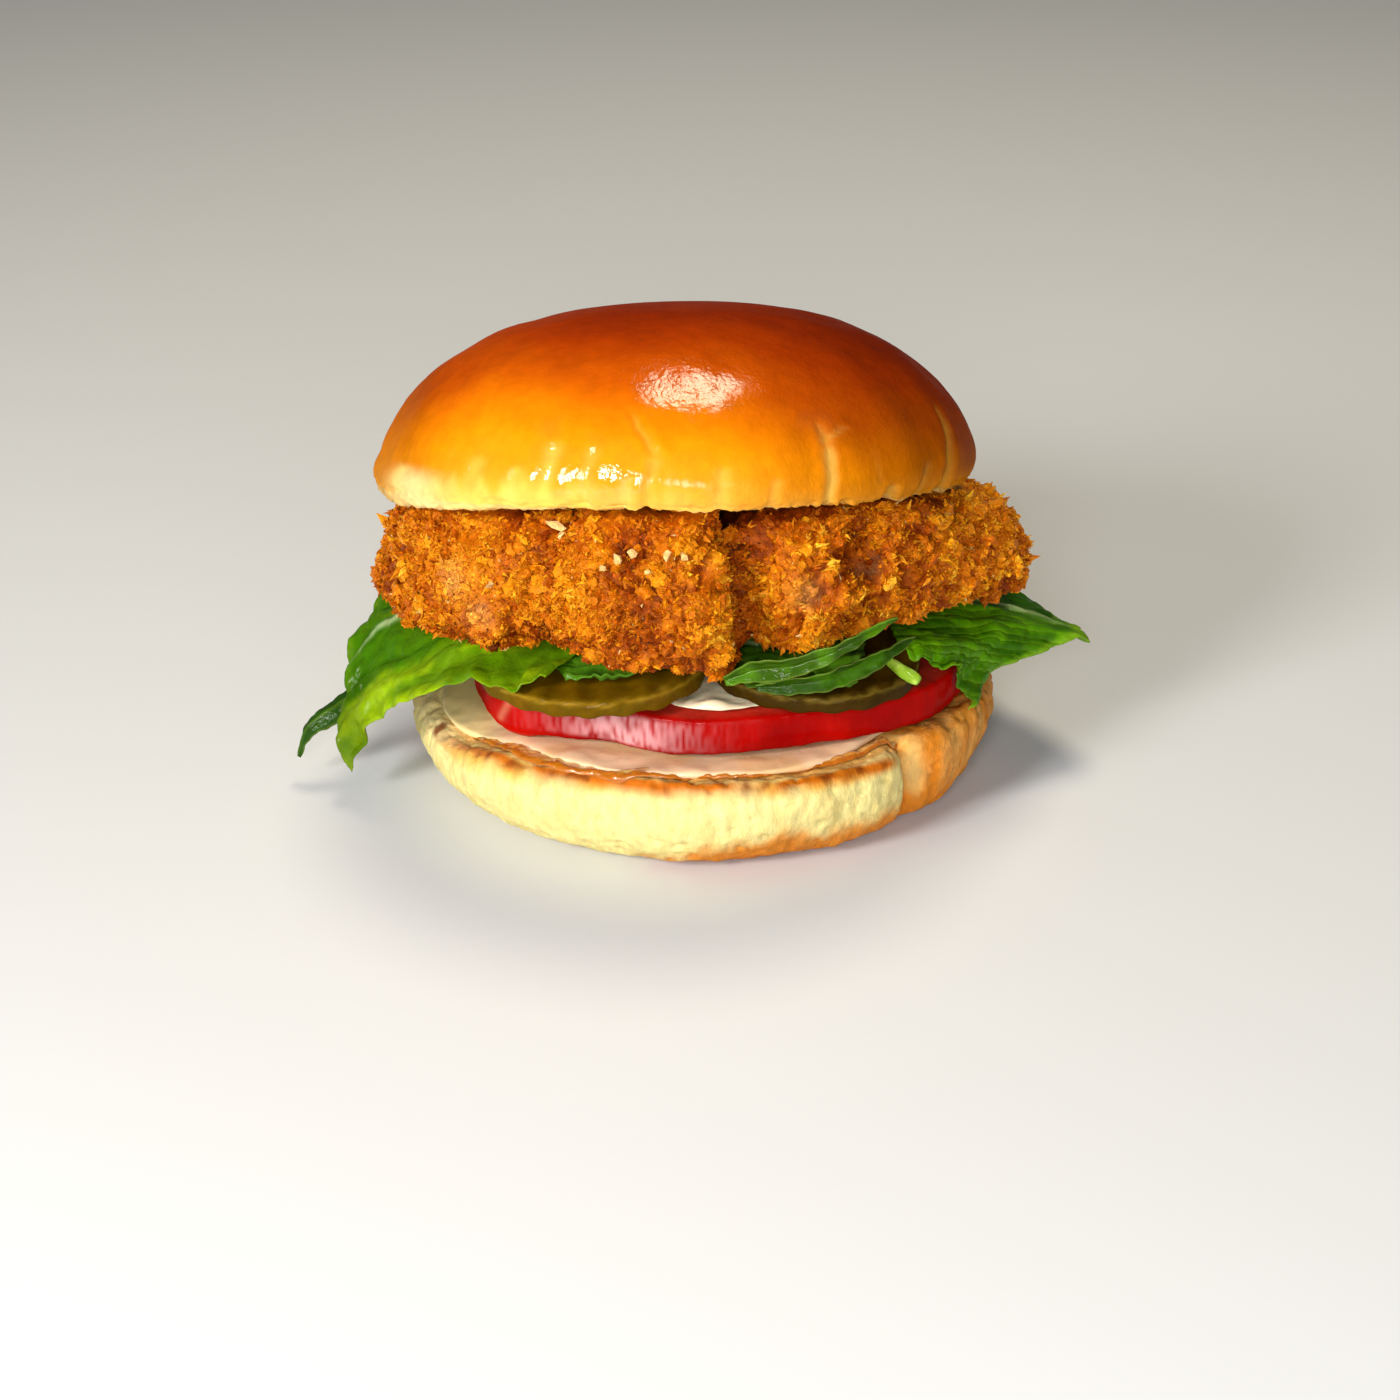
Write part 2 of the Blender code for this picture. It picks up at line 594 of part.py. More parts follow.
def chicken_point(degrees, share, around):
    """A point of the fillet: share of its edge inset, around from -1 at the underside to 1 at the top."""
    angle = 0.5 * math.pi * around
    radius = wave(CHICKEN_OUTLINE, degrees)
    up = math.copysign(abs(math.sin(angle)) ** CHICKEN_SQUARE_UP, around)
    for foot, top, depth, width in CHICKEN_CLEFTS:
        radius -= depth * hill(degrees, foot + (top - foot) * 0.5 * (1 + up), width) * math.cos(angle)
    radius -= CHICKEN_TAPER * (0.5 * (1 + up)) ** 2
    inner = radius - CHICKEN_SIDE
    radius = share * inner + (radius - inner) * max(0.0, math.cos(angle)) ** CHICKEN_SQUARE_OUT
    x, y, _ = polar((0, 0), degrees, radius, 0)
    low = chicken_low(x, y)
    high = crown_base(x, y) - CHICKEN_CROWN_GAP
    high -= CHICKEN_END_DROP * ease((x - CHICKEN_END_FROM) / CHICKEN_END_SPAN)
    z = 0.5 * (low + high) + 0.5 * (high - low) * up
    lumps = CHICKEN_LOBE_DEPTH * (crag(x, y, z, CHICKEN_LOBE_SIZE, 1.7) - 0.45)
    lumps += CHICKEN_CRAG_DEPTH * (crag(x, y, z, CHICKEN_CRAG_SIZE, 8.2) - 0.45)
    lumps *= 0.35 + 0.65 * ease(1.25 * math.cos(angle))
    radius += lumps * math.cos(angle)
    z += lumps * math.sin(angle)
    x, y, _ = polar((0, 0), degrees, radius, 0)
    return (x, y, min(z, crown_base(x, y) - 0.6 * CHICKEN_CROWN_GAP))


def make_chicken():
    rows = [(share, -1.0) for share in reversed(CHICKEN_CAP_SHARES)]
    rows += [(1.0, -1.0 + 2.0 * k / (CHICKEN_ROWS - 1)) for k in range(CHICKEN_ROWS)]
    rows += [(share, 1.0) for share in CHICKEN_CAP_SHARES]
    rings = [
        [chicken_point(turn(i, CHICKEN_SEGMENTS), *row) for i in range(CHICKEN_SEGMENTS)] for row in rows
    ]
    top = crown_base(0, 0) - CHICKEN_CROWN_GAP
    points, faces = close_rings(rings, (0, 0, chicken_low(0, 0)), (0, 0, top))
    return add_node("chicken", points, faces)


def smooth_line(points, count):
    """A curve through the points, sampled evenly in its parameter."""
    points = np.asarray(points, float)
    padded = np.vstack([2 * points[0] - points[1], points, 2 * points[-1] - points[-2]])
    made = []
    for k in range(count):
        at = k * (len(points) - 1) / (count - 1)
        i = min(int(at), len(points) - 2)
        t = at - i
        p0, p1, p2, p3 = padded[i : i + 4]
        bend = 2 * p0 - 5 * p1 + 4 * p2 - p3
        twist = 3 * p1 - p0 - 3 * p2 + p3
        made.append(0.5 * (2 * p1 + (p2 - p0) * t + bend * t**2 + twist * t**3))
    return np.array(made)


def sheet_normals(grid):
    along = np.gradient(grid, axis=0)
    across = np.gradient(grid, axis=1)
    normals = np.cross(along, across)
    return normals / np.linalg.norm(normals, axis=2, keepdims=True)


def ruffle(grid, depth, waves, phase):
    """Waves that grow towards the leaf's outer and front edges."""
    rows, columns = grid.shape[:2]
    u = np.linspace(0, 1, rows)[:, None]
    v = np.linspace(0, 1, columns)[None, :]
    rim = np.clip((u - 0.55) / 0.45, 0, 1) ** 2 * np.sin(2 * np.pi * waves * v + phase)
    front = np.clip((v - 0.72) / 0.28, 0, 1) ** 2 * np.sin(2 * np.pi * waves * u + phase + 1.3)
    back = np.clip((0.2 - v) / 0.2, 0, 1) ** 2 * np.sin(2 * np.pi * waves * u + phase + 2.1)
    return grid + sheet_normals(grid) * (depth * (rim + front + back))[:, :, None]


def settle(grid, below, above):
    """Lifts the leaf off what lies below it and lowers it from what lies above."""
    grid = grid.copy()
    for point in grid.reshape(-1, 3):
        x, y = point[0], point[1]
        roofs = [foot_of(tree, x, y) for tree in above]
        point[2] = min([point[2]] + [z - LEAF_ROOF_CLEARANCE for z in roofs if z is not None])
        floors = [top_of(tree, x, y) for tree in below]
        point[2] = max([point[2]] + [z + LEAF_FLOOR_CLEARANCE for z in floors if z is not None])
    return grid


def thick_sheet(name, grid, thickness):
    """A closed thin solid round a grid of points, both faces split into triangles alike."""
    rows, columns = grid.shape[:2]
    normals = sheet_normals(grid)
    facing_up = normals[rows // 2, columns // 2, 2] > 0
    if not facing_up:
        normals = -normals
    upper = (grid + 0.5 * thickness * normals).reshape(-1, 3)
    lower = (grid - 0.5 * thickness * normals).reshape(-1, 3)
    count = rows * columns
    faces = []
    for i in range(rows - 1):
        for j in range(columns - 1):
            a, b = i * columns + j, (i + 1) * columns + j
            c, d = b + 1, a + 1
            faces += [(a, b, c), (a, c, d)]
            faces += [(count + a, count + c, count + b), (count + a, count + d, count + c)]
    border = [i * columns for i in range(rows)]
    border += [(rows - 1) * columns + j for j in range(1, columns)]
    border += [i * columns + columns - 1 for i in range(rows - 2, -1, -1)]
    border += [j for j in range(columns - 2, 0, -1)]
    for a, b in zip(border, border[1:] + border[:1]):
        faces += [(a, count + a, count + b), (a, count + b, b)]
    if not facing_up:
        faces = [(a, c, b) for a, b, c in faces]
    return add_node(name, np.vstack([upper, lower]), faces)


def leaf_grid(net, rows, columns):
    net = np.asarray(net, float)
    along = np.stack([smooth_line(net[:, j], rows) for j in range(net.shape[1])], axis=1)
    return np.stack([smooth_line(along[i], columns) for i in range(rows)], axis=0)


def make_leaf(name, net, below, above):
    rows, columns, depth, waves, phase = LEAF_WAVES[name]
    grid = ruffle(leaf_grid(net, rows, columns), depth, waves, phase)
    return thick_sheet(name, settle(grid, below, above), LEAF_THICKNESS)


def make_strip(name, line, steps, rise):
    """A narrow leaf that follows a line; rise is 1 where it stands upright and 0 where it lies flat."""
    middle = smooth_line(line, steps)
    forward = np.gradient(middle[:, :3], axis=0)
    forward /= np.linalg.norm(forward, axis=1, keepdims=True)
    flat = np.cross(forward, (0.0, 0.0, 1.0))
    flat /= np.linalg.norm(flat, axis=1, keepdims=True)
    side = rise * np.cross(flat, forward) + (1 - rise) * flat
    side /= np.linalg.norm(side, axis=1, keepdims=True)
    middle, width = middle[:, :3], middle[:, 3:4]
    cup = np.cross(forward, side) * STRIP_CUP * width
    grid = np.stack([middle - 0.5 * width * side + cup, middle, middle + 0.5 * width * side + cup], axis=1)
    return thick_sheet(name, grid, STRIP_THICKNESS)


def make_rib():
    """The cut end of a leaf's rib, a short tapering stub."""
    start, end = Vector(RIB_START), Vector(RIB_END)
    axis = (end - start).normalized()
    side = axis.cross(Vector((0, 0, 1))).normalized()
    up = side.cross(axis)
    rings = []
    for row in range(RIB_RINGS):
        share = row / (RIB_RINGS - 1)
        radius = RIB_RADII[0] + (RIB_RADII[1] - RIB_RADII[0]) * share
        middle = start.lerp(end, share)
        angles = [math.radians(turn(i, RIB_SIDES)) for i in range(RIB_SIDES)]
        ring = [middle + radius * (math.cos(a) * up + RIB_FLATNESS * math.sin(a) * side) for a in angles]
        rings.append([tuple(point) for point in ring])
    points, faces = close_rings(rings, tuple(start - 0.5 * axis), tuple(end + 0.2 * axis))
    return add_node("lettuce_rib", points, faces)


def main():
    clear_scene()
    add_root()
    heel = make_heel()
    tomato = make_tomato()
    sauce = make_sauce(heel, tomato)
    mayo = make_mayo(tomato)
    pickles = [
        make_pickle("pickle_left", PICKLE_LEFT_CENTER, PICKLE_LEFT_RADIUS),
        make_pickle("pickle_right", PICKLE_RIGHT_CENTER, PICKLE_RIGHT_RADIUS),
    ]
    make_crown()
    chicken = make_chicken()
    floor = [heel, sauce, tomato, mayo, *pickles]
    center = make_leaf("lettuce_center", LEAF_CENTER, floor, [chicken])
    front = make_leaf("lettuce_front", LEAF_FRONT, floor, [chicken])
    curl = make_strip("lettuce_curl", STRIP_CURL, 11, 0.35)
    make_leaf("lettuce_left", LEAF_LEFT, [*floor, center, curl], [chicken])
    make_leaf("lettuce_right", LEAF_RIGHT, [*floor, front], [chicken])
    make_strip("lettuce_strip_long", STRIP_LONG, 12, 0.85)
    make_strip("lettuce_strip_short", STRIP_SHORT, 10, 0.8)
    make_rib()


main()
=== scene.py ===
"""The looks of the fried chicken burger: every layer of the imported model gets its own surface, dressed with
crust, flakes, veins, crinkles and sauce, on a pale floor under soft studio light.

Lengths in the functions are millimetres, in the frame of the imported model: +X is the burger's right, -Y its
front and +Z up. Angles go round the burger in degrees, with the front at -90. Meshes are written in metres.
The last number of a call for noise is its seed, so each run gives the same result.
"""

import itertools
import math

import bmesh
import bpy
import numpy as np
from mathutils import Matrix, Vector
from mathutils.bvhtree import BVHTree


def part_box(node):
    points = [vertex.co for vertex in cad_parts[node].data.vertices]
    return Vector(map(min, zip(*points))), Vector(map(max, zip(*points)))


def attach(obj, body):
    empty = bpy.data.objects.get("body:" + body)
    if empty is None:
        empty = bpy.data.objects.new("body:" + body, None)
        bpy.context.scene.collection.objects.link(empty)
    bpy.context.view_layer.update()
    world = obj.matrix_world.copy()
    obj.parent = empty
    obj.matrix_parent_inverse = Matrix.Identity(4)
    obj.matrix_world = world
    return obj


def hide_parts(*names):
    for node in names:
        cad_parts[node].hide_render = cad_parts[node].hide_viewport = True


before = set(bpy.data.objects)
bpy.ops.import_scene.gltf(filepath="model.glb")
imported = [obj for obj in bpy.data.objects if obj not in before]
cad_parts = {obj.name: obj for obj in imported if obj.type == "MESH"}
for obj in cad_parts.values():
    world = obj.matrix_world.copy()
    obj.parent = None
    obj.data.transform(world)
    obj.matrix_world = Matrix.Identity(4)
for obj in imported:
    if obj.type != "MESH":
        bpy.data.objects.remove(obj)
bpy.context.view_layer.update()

MM = 0.001
BODY = "root"
EVEN = (1.0, 1.0, 1.0)
EDGES = np.array([v for v in itertools.product((-1, 0, 1), repeat=3) if np.abs(v).sum() == 2], float)
FAR_UP = 200.0
FAR_DOWN = -50.0
SHADER_INPUTS = {
    "coat": "Coat Weight", "coat_rough": "Coat Roughness", "specular": "Specular IOR Level",
    "specular_tint": "Specular Tint", "subsurface": "Subsurface Weight", "depth": "Subsurface Scale",
    "spread": "Subsurface Radius",
}


def hashed(cell, seed):
    """A whole number for each lattice cell, the same on every run."""
    mixed = cell[..., 0] * 374761393 + cell[..., 1] * 668265263 + cell[..., 2] * 1442695041 + seed * 974634777
    mixed &= 0xFFFFFFFF
    mixed = ((mixed ^ (mixed >> 13)) * 1274126177) & 0xFFFFFFFF
    return mixed ^ (mixed >> 16)


def thirds(number):
    """Three numbers from 0 to 1 out of each whole number."""
    return np.stack([number & 1023, (number >> 10) & 1023, (number >> 20) & 1023], axis=-1) / 1023.0


def grain(points, size, seed=0):
    """Smooth noise from about -1 to 1 with lumps of the given size."""
    p = np.asarray(points, float) / size + 0.37 * seed
    cell = np.floor(p).astype(np.int64)
    t = p - cell
    fade = t * t * t * (t * (6 * t - 15) + 10)
    total = np.zeros(len(p))
    for corner in itertools.product((0, 1), repeat=3):
        corner = np.array(corner)
        slope = EDGES[hashed(cell + corner, seed) % len(EDGES)]
        weight = np.prod(np.where(corner, fade, 1 - fade), axis=1)
        total += weight * ((t - corner) * slope).sum(axis=1)
    return 1.3 * total


def line_noise(at, size, seed):
    """Smooth noise along a line."""
    at_line = np.stack([at, np.zeros_like(at), np.zeros_like(at)], axis=-1).reshape(-1, 3)
    return grain(at_line, size, seed).reshape(at.shape)


def cells(points, size, seed=0):
    """Jittered cells: each point's cell number, its offset from the cell's seed, how far the next cell is."""
    p = np.asarray(points, float) / size
    base = np.floor(p).astype(np.int64)
    best = np.full(len(p), 9.0)
    second = best.copy()
    number = np.zeros(len(p), np.int64)
    offset = np.zeros_like(p)
    for shift in itertools.product((-1, 0, 1), repeat=3):
        cell = base + np.array(shift)
        found = hashed(cell, seed)
        away = p - cell - thirds(found)
        distance = np.sqrt((away * away).sum(axis=1))
        nearer = distance < best
        second = np.where(nearer, best, np.minimum(second, distance))
        number[nearer] = found[nearer]
        offset[nearer] = away[nearer]
        best = np.minimum(best, distance)
    return number, offset, second - best


def warped(points, size, amount, seed=0):
    """The points pushed about, so that what is cut from them looks less regular."""
    return points + amount * np.stack([grain(points, size, seed + k) for k in (11, 12, 13)], axis=1)


def ease(t):
    t = np.clip(t, 0.0, 1.0)
    return t * t * (3.0 - 2.0 * t)


def bell(away, width):
    """1 in the middle and almost 0 two widths away."""
    return np.exp(-((away / width) ** 2))


def arc(degrees, center):
    """Degrees from an angle, from -180 to 180."""
    return (degrees - center + 180.0) % 360.0 - 180.0


def hill(degrees, center, width):
    """A bell round an angle."""
    return bell(arc(degrees, center), width)


def blob(points, place, width):
    """A bell round a place."""
    return bell(np.linalg.norm(points - place, axis=1), width)


def bearing(points):
    """Angle of each point round the Z axis."""
    return np.degrees(np.arctan2(points[:, 1], points[:, 0]))


def unit(vectors):
    return vectors / np.linalg.norm(vectors, axis=-1, keepdims=True)


def ramp(t, stops):
    """Colours read off rows of (place, red, green, blue)."""
    stops = np.array(stops, float)
    return np.stack([np.interp(t, stops[:, 0], stops[:, k]) for k in (1, 2, 3)], axis=1)


def mix(first, second, share):
    """A row for each share, between two colours or two rows of colours."""
    share = np.clip(share, 0.0, 1.0)[:, None]
    return np.asarray(first, float) * (1 - share) + np.asarray(second, float) * share


def add_mesh(name, points, faces, smooth=True):
    """A mesh object from points in millimetres."""
    mesh = bpy.data.meshes.new(name)
    rows = [tuple(f) for f in np.asarray(faces).tolist()]
    mesh.from_pydata((MM * np.asarray(points, float)).tolist(), [], rows)
    mesh.polygons.foreach_set("use_smooth", [smooth] * len(mesh.polygons))
    mesh.update()
    return add_object(name, mesh)


def add_object(name, data):
    obj = bpy.data.objects.new(name, data)
    bpy.context.scene.collection.objects.link(obj)
    return obj


def read(mesh, key):
    flat = np.empty(3 * len(mesh.vertices), np.float32)
    mesh.vertices.foreach_get(key, flat)
    return flat.reshape(-1, 3).astype(float)


def places(obj):
    return read(obj.data, "co") / MM


def normals(obj):
    return read(obj.data, "normal")


def move(obj, points):
    obj.data.vertices.foreach_set("co", (MM * np.asarray(points)).astype(np.float32).ravel())
    obj.data.update()


def swell(obj, heights):
    """Pushes each point out along its normal."""
    move(obj, places(obj) + normals(obj) * np.asarray(heights)[:, None])


def paint(obj, colors, gloss=1.0):
    """A colour and a share of the wet sheen for each point, read by the materials."""
    layer = obj.data.attributes.new("tint", "FLOAT_COLOR", "POINT")
    rows = np.column_stack([np.clip(colors, 0.0, 1.0), np.ones(len(colors))])
    layer.data.foreach_set("color", rows.astype(np.float32).ravel())
    layer = obj.data.attributes.new("gloss", "FLOAT", "POINT")
    layer.data.foreach_set("value", np.broadcast_to(gloss, len(colors)).astype(np.float32))


def tree_of(name):
    """A search tree of a CAD node's surface, in millimetres."""
    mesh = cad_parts[name].data
    points = [v.co / MM for v in mesh.vertices]
    return BVHTree.FromPolygons(points, [tuple(p.vertices) for p in mesh.polygons])


def piece_tree(obj):
    """The same for a piece of this scene."""
    return BVHTree.FromPolygons(places(obj).tolist(), [tuple(p.vertices) for p in obj.data.polygons])


def top_of(tree, x, y):
    hit = tree.ray_cast(Vector((x, y, FAR_UP)), Vector((0, 0, -1)))[0]
    return None if hit is None else hit.z


def foot_of(tree, x, y):
    hit = tree.ray_cast(Vector((x, y, FAR_DOWN)), Vector((0, 0, 1)))[0]
    return None if hit is None else hit.z


def is_diagonal(edge, longest):
    return len(edge.link_faces) == 2 and all(longest[f.index] == edge.index for f in edge.link_faces)


def refined(node_name, name, levels):
    """A smooth, dense copy of a CAD node: the diagonals of its facets dissolved, then subdivided."""
    bm = bmesh.new()
    bm.from_mesh(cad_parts[node_name].data)
    bmesh.ops.remove_doubles(bm, verts=bm.verts, dist=1e-6)
    bm.edges.index_update()
    bm.faces.index_update()
    longest = {f.index: max(f.edges, key=lambda e: e.calc_length()).index for f in bm.faces}
    diagonals = [e for e in bm.edges if is_diagonal(e, longest)]
    bmesh.ops.dissolve_edges(bm, edges=diagonals, use_verts=False)
    mesh = bpy.data.meshes.new(name)
    bm.to_mesh(mesh)
    bm.free()
    obj = add_object(name, mesh)
    modifier = obj.modifiers.new("Subdivision", "SUBSURF")
    modifier.levels = modifier.render_levels = levels
    evaluated = obj.evaluated_get(bpy.context.evaluated_depsgraph_get())
    dense = bpy.data.meshes.new_from_object(evaluated)
    obj.modifiers.clear()
    obj.data = dense
    dense.name = name
    dense.polygons.foreach_set("use_smooth", [True] * len(dense.polygons))
    return obj


def finish_piece(obj, slot, made, *nodes):
    """Rides the body, stands for its CAD nodes, and gets its material."""
    obj.data.materials.clear()
    obj.data.materials.append(made)
    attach(obj, BODY)
    if nodes:
        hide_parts(*nodes)


def node(tree, kind, inputs=None, **settings):
    made = tree.nodes.new(kind)
    for key, value in settings.items():
        setattr(made, key, value)
    for key, value in (inputs or {}).items():
        if isinstance(value, bpy.types.NodeSocket):
            tree.links.new(value, made.inputs[key])
        else:
            made.inputs[key].default_value = value
    return made


def speckle(tree, size, detail=3.0, stretch=(1.0, 1.0, 1.0), roughness=0.55):
    """Noise in the object's own millimetres, from 0 to 1."""
    coordinates = node(tree, "ShaderNodeTexCoord").outputs["Object"]
    scale = tuple(s / (MM * size) for s in stretch)
    mapped = node(tree, "ShaderNodeMapping", {"Vector": coordinates, "Scale": scale})
    inputs = {"Vector": mapped.outputs["Vector"], "Scale": 1.0, "Detail": detail, "Roughness": roughness}
    return node(tree, "ShaderNodeTexNoise", inputs).outputs["Fac"]


def between(tree, value, low, high, start=0.0, end=1.0):
    """A number carried from the range start to end over to the range low to high."""
    inputs = {"Value": value, "From Min": start, "From Max": end, "To Min": low, "To Max": high}
    return node(tree, "ShaderNodeMapRange", inputs).outputs["Result"]


def scaled(tree, color, value):
    """A colour times a number."""
    return node(tree, "ShaderNodeVectorMath", {0: color, 1: value}, operation="MULTIPLY").outputs["Vector"]


def bumped(tree, height, depth, strength=1.0, under=None):
    inputs = {"Height": height, "Distance": depth * MM, "Strength": strength}
    if under is not None:
        inputs["Normal"] = under
    return node(tree, "ShaderNodeBump", inputs).outputs["Normal"]


def material(name, tone, rough, bumps, sparkle=None, **settings):
    """A Principled material: its tint attribute varied by noise, its roughness and bumps driven by noise.
    tone is (size, stretch, darkest, lightest), rough (size, low, high), a bump (size, stretch, depth, detail)
    and sparkle (size, threshold, gain): painted glints, tiny bright spots added to the colour. The settings
    are named in SHADER_INPUTS."""
    made = bpy.data.materials.new(name)
    made.use_nodes = True
    tree = made.node_tree
    shader = tree.nodes["Principled BSDF"]
    for key, value in settings.items():
        shader.inputs[SHADER_INPUTS[key]].default_value = value
    gloss = node(tree, "ShaderNodeAttribute", attribute_name="gloss").outputs["Fac"]
    tree.links.new(between(tree, gloss, 0.0, settings.get("coat", 0.0)), shader.inputs["Coat Weight"])
    tint = node(tree, "ShaderNodeAttribute", attribute_name="tint").outputs["Color"]
    size, stretch, darkest, lightest = tone
    shade = between(tree, speckle(tree, size, 4.0, stretch), darkest, lightest, 0.3, 0.7)
    # painted glints: where fine noise passes a threshold the colour turns brighter, in tiny spots
    if sparkle:
        size, threshold, gain = sparkle
        glint = between(tree, speckle(tree, size, 0.0), 0.0, gain, threshold, threshold + 0.05)
        shade = node(tree, "ShaderNodeMath", {0: shade, 1: glint}, operation="ADD").outputs["Value"]
    tree.links.new(scaled(tree, tint, shade), shader.inputs["Base Color"])
    size, low, high = rough
    tree.links.new(between(tree, speckle(tree, size), low, high, 0.3, 0.7), shader.inputs["Roughness"])
    normal = None
    for size, stretch, depth, detail in bumps:
        normal = bumped(tree, speckle(tree, size, detail, stretch), depth, 1.0, normal)
    tree.links.new(normal, shader.inputs["Normal"])
    tree.links.new(normal, shader.inputs["Coat Normal"])
    return made


CROWN_CENTER = np.array((-4.5, -4.0, 53.4))
CROWN_TILT = math.radians(14.1)
CROWN_COLORS = (
    # height over the cut face, then the colour
    (0.0, 0.81, 0.37, 0.050),
    (2.5, 0.82, 0.315, 0.020),
    (6.0, 0.83, 0.27, 0.006),
    (10.0, 0.83, 0.25, 0.002),
    (14.0, 0.71, 0.176, 0.001),
    (19.0, 0.51, 0.082, 0.001),
    (25.0, 0.36, 0.036, 0.0005),
    (30.0, 0.25, 0.020, 0.0005),
)
CROWN_PALE = (0.90, 0.60, 0.12)
CROWN_CREAM = (0.86, 0.66, 0.28)
CROWN_FOOT = (0.84, 0.52, 0.16)
CROWN_IN_CRACK = np.array(CROWN_PALE) * (0.8, 0.5, 0.2)
# angle and width of the corner that stands out, of the washed front and of the cream spot
CROWN_CORNER = (-168.0, 30.0)
CROWN_WASHED = (-127.0, 27.0)
CROWN_CREAM_SPOT = (-146.0, 9.0)
CROWN_WRINKLES = (
    # size, stretch, depth, detail
    (2.4, (1.0, 1.0, 0.7), 0.12, 2.0),
    (0.85, (1.0, 1.0, 0.6), 0.11, 2.0),
    (0.35, EVEN, 0.02, 2.0),
)
CROWN_DULL_GLOSS = 0.07
CROWN_GLOSS = (
    # degrees and height of each patch where the glaze shines, its half width, its half height and its share
    (-86.7, 17.8, 7.5, 3.0, 1.0),
    (-103.2, 6.0, 7.5, 5.5, 1.0),
    (-114.1, 8.2, 3.0, 5.0, 1.0),
    (-88.0, 6.0, 5.0, 4.0, 0.3),
    (-61.0, 13.0, 3.0, 2.0, 0.7),
    (-130.0, 6.0, 6.0, 4.0, 0.3),
)
CROWN_CRACKS = (
    # degrees and height where each begins and ends, its depth, its half width, how pale it is
    (-61.0, 0.2, -60.0, 10.5, 0.55, 0.7, 0.75),
    (-60.5, 10.5, -54.3, 12.6, 0.35, 0.8, 0.35),
    (-60.0, 10.5, -61.5, 13.4, 0.40, 0.7, 0.30),
    (-95.2, 0.3, -93.2, 9.5, 0.75, 0.8, 0.30),
    (-93.2, 9.5, -98.8, 15.6, 0.60, 0.8, 0.10),
    (-99.0, 0.6, -97.5, 6.0, 0.50, 0.8, 0.45),
    (-106.5, 1.5, -105.0, 10.4, 0.55, 1.0, 0.25),
    (-114.0, 3.0, -112.5, 10.8, 0.40, 1.1, 0.40),
    (-121.0, 1.0, -119.0, 7.0, 0.30, 1.2, 0.35),
    (-131.0, 1.0, -128.0, 8.0, 0.35, 1.4, 0.30),
    (-82.0, 0.5, -81.0, 7.5, 0.35, 1.1, 0.30),
    (-72.5, 0.3, -71.5, 5.5, 0.30, 0.9, 0.25),
    (-28.9, 0.8, -27.5, 7.0, 0.80, 1.3, 0.25),
    (-27.5, 7.0, -22.8, 14.8, 0.75, 1.2, 0.30),
    (-38.0, 0.5, -36.0, 6.0, 0.35, 1.0, 0.20),
    (-46.4, -0.5, -46.6, 3.0, 0.90, 0.9, 0.60),
    (-57.2, -0.5, -57.0, 1.4, 0.80, 0.7, 0.20),
    (-152.0, 0.5, -150.0, 5.0, 0.35, 2.4, 0.90),
    (14.0, 0.5, 11.0, 9.0, 0.6, 1.2, 0.3),
    (47.0, 0.5, 50.0, 7.0, 0.5, 1.0, 0.4),
    (84.0, 0.5, 82.0, 10.0, 0.6, 1.0, 0.3),
    (121.0, 0.5, 124.0, 8.0, 0.5, 1.2, 0.4),
    (163.0, 0.5, 160.0, 9.0, 0.6, 1.1, 0.3),
)


def crown_axes(points):
    """Angle, distance from the axis and height over the cut face, for points of the leaning upper bun."""
    dx, dy, dz = (points - CROWN_CENTER).T
    along = dy * math.cos(CROWN_TILT) - dz * math.sin(CROWN_TILT)
    height = dy * math.sin(CROWN_TILT) + dz * math.cos(CROWN_TILT)
    return np.degrees(np.arctan2(along, dx)), np.hypot(dx, along), height


def crown_cracks(points, degrees, away, height):
    """Depth of the upper bun's creases at each point, with their raised lips, and how pale the crust is."""
    depths, pale = np.zeros(len(points)), np.zeros(len(points))
    bend = 0.5 * grain(points, 3.0, 15)
    for foot, low, top, high, depth, width, paleness in CROWN_CRACKS:
        reach = np.clip((height - low) / (high - low), 0.0, 1.0)
        across = np.radians(arc(degrees, foot + (top - foot) * reach)) * away + bend
        beyond = height - (low + (high - low) * reach)
        off = np.hypot(across, beyond)
        taper = ease(4.0 * (1.02 - reach))
        depths += depth * taper * (bell(off, width) - 0.15 * bell(off - 2.0 * width, width))
        pale = np.maximum(pale, paleness * taper * bell(off, 1.1 * width))
    return depths, pale


def crown_gloss(points, degrees, away, height):
    """Where the glaze shines: a little everywhere and more in a few ragged patches."""
    gloss = np.full(len(height), CROWN_DULL_GLOSS)
    ragged = 0.35 * grain(points, 3.0, 3) + 0.25 * grain(points, 1.2, 6)
    for at, up, wide, tall, share in CROWN_GLOSS:
        across = np.radians(arc(degrees, at)) * away
        off = np.hypot(across / wide, (height - up) / tall)
        gloss = np.maximum(gloss, share * ease((1.25 - off + ragged) / 0.5))
    return gloss


def crown_relief(points, degrees, away, height, pleats, cracks):
    """How far the skin stands out: dents and pleats, a torn rim and the creases."""
    low = ease((14.0 - height) / 12.0) * ease((height - 0.4) / 2.0)
    dents = 0.30 * grain(points, 9.0, 5) + 0.06 * low * pleats + 0.04 * grain(points, 1.6, 10)
    rim = ease((2.0 - height) / 1.6) * ease((away - 40.0) / 6.0)
    torn = 0.3 * np.abs(grain(points, 5.0, 6)) + 0.5 * np.abs(grain(points, 1.5, 7))
    torn += 0.3 * grain(points, 0.9, 9)
    corner = 1.5 * ease((5.0 - height) / 4.0) * hill(degrees, *CROWN_CORNER)
    push = dents * ease((away - 8.0) / 20.0) - rim * torn - cracks * ease((away - 30.0) / 6.0)
    return push + corner * ease((away - 44.0) / 4.0)


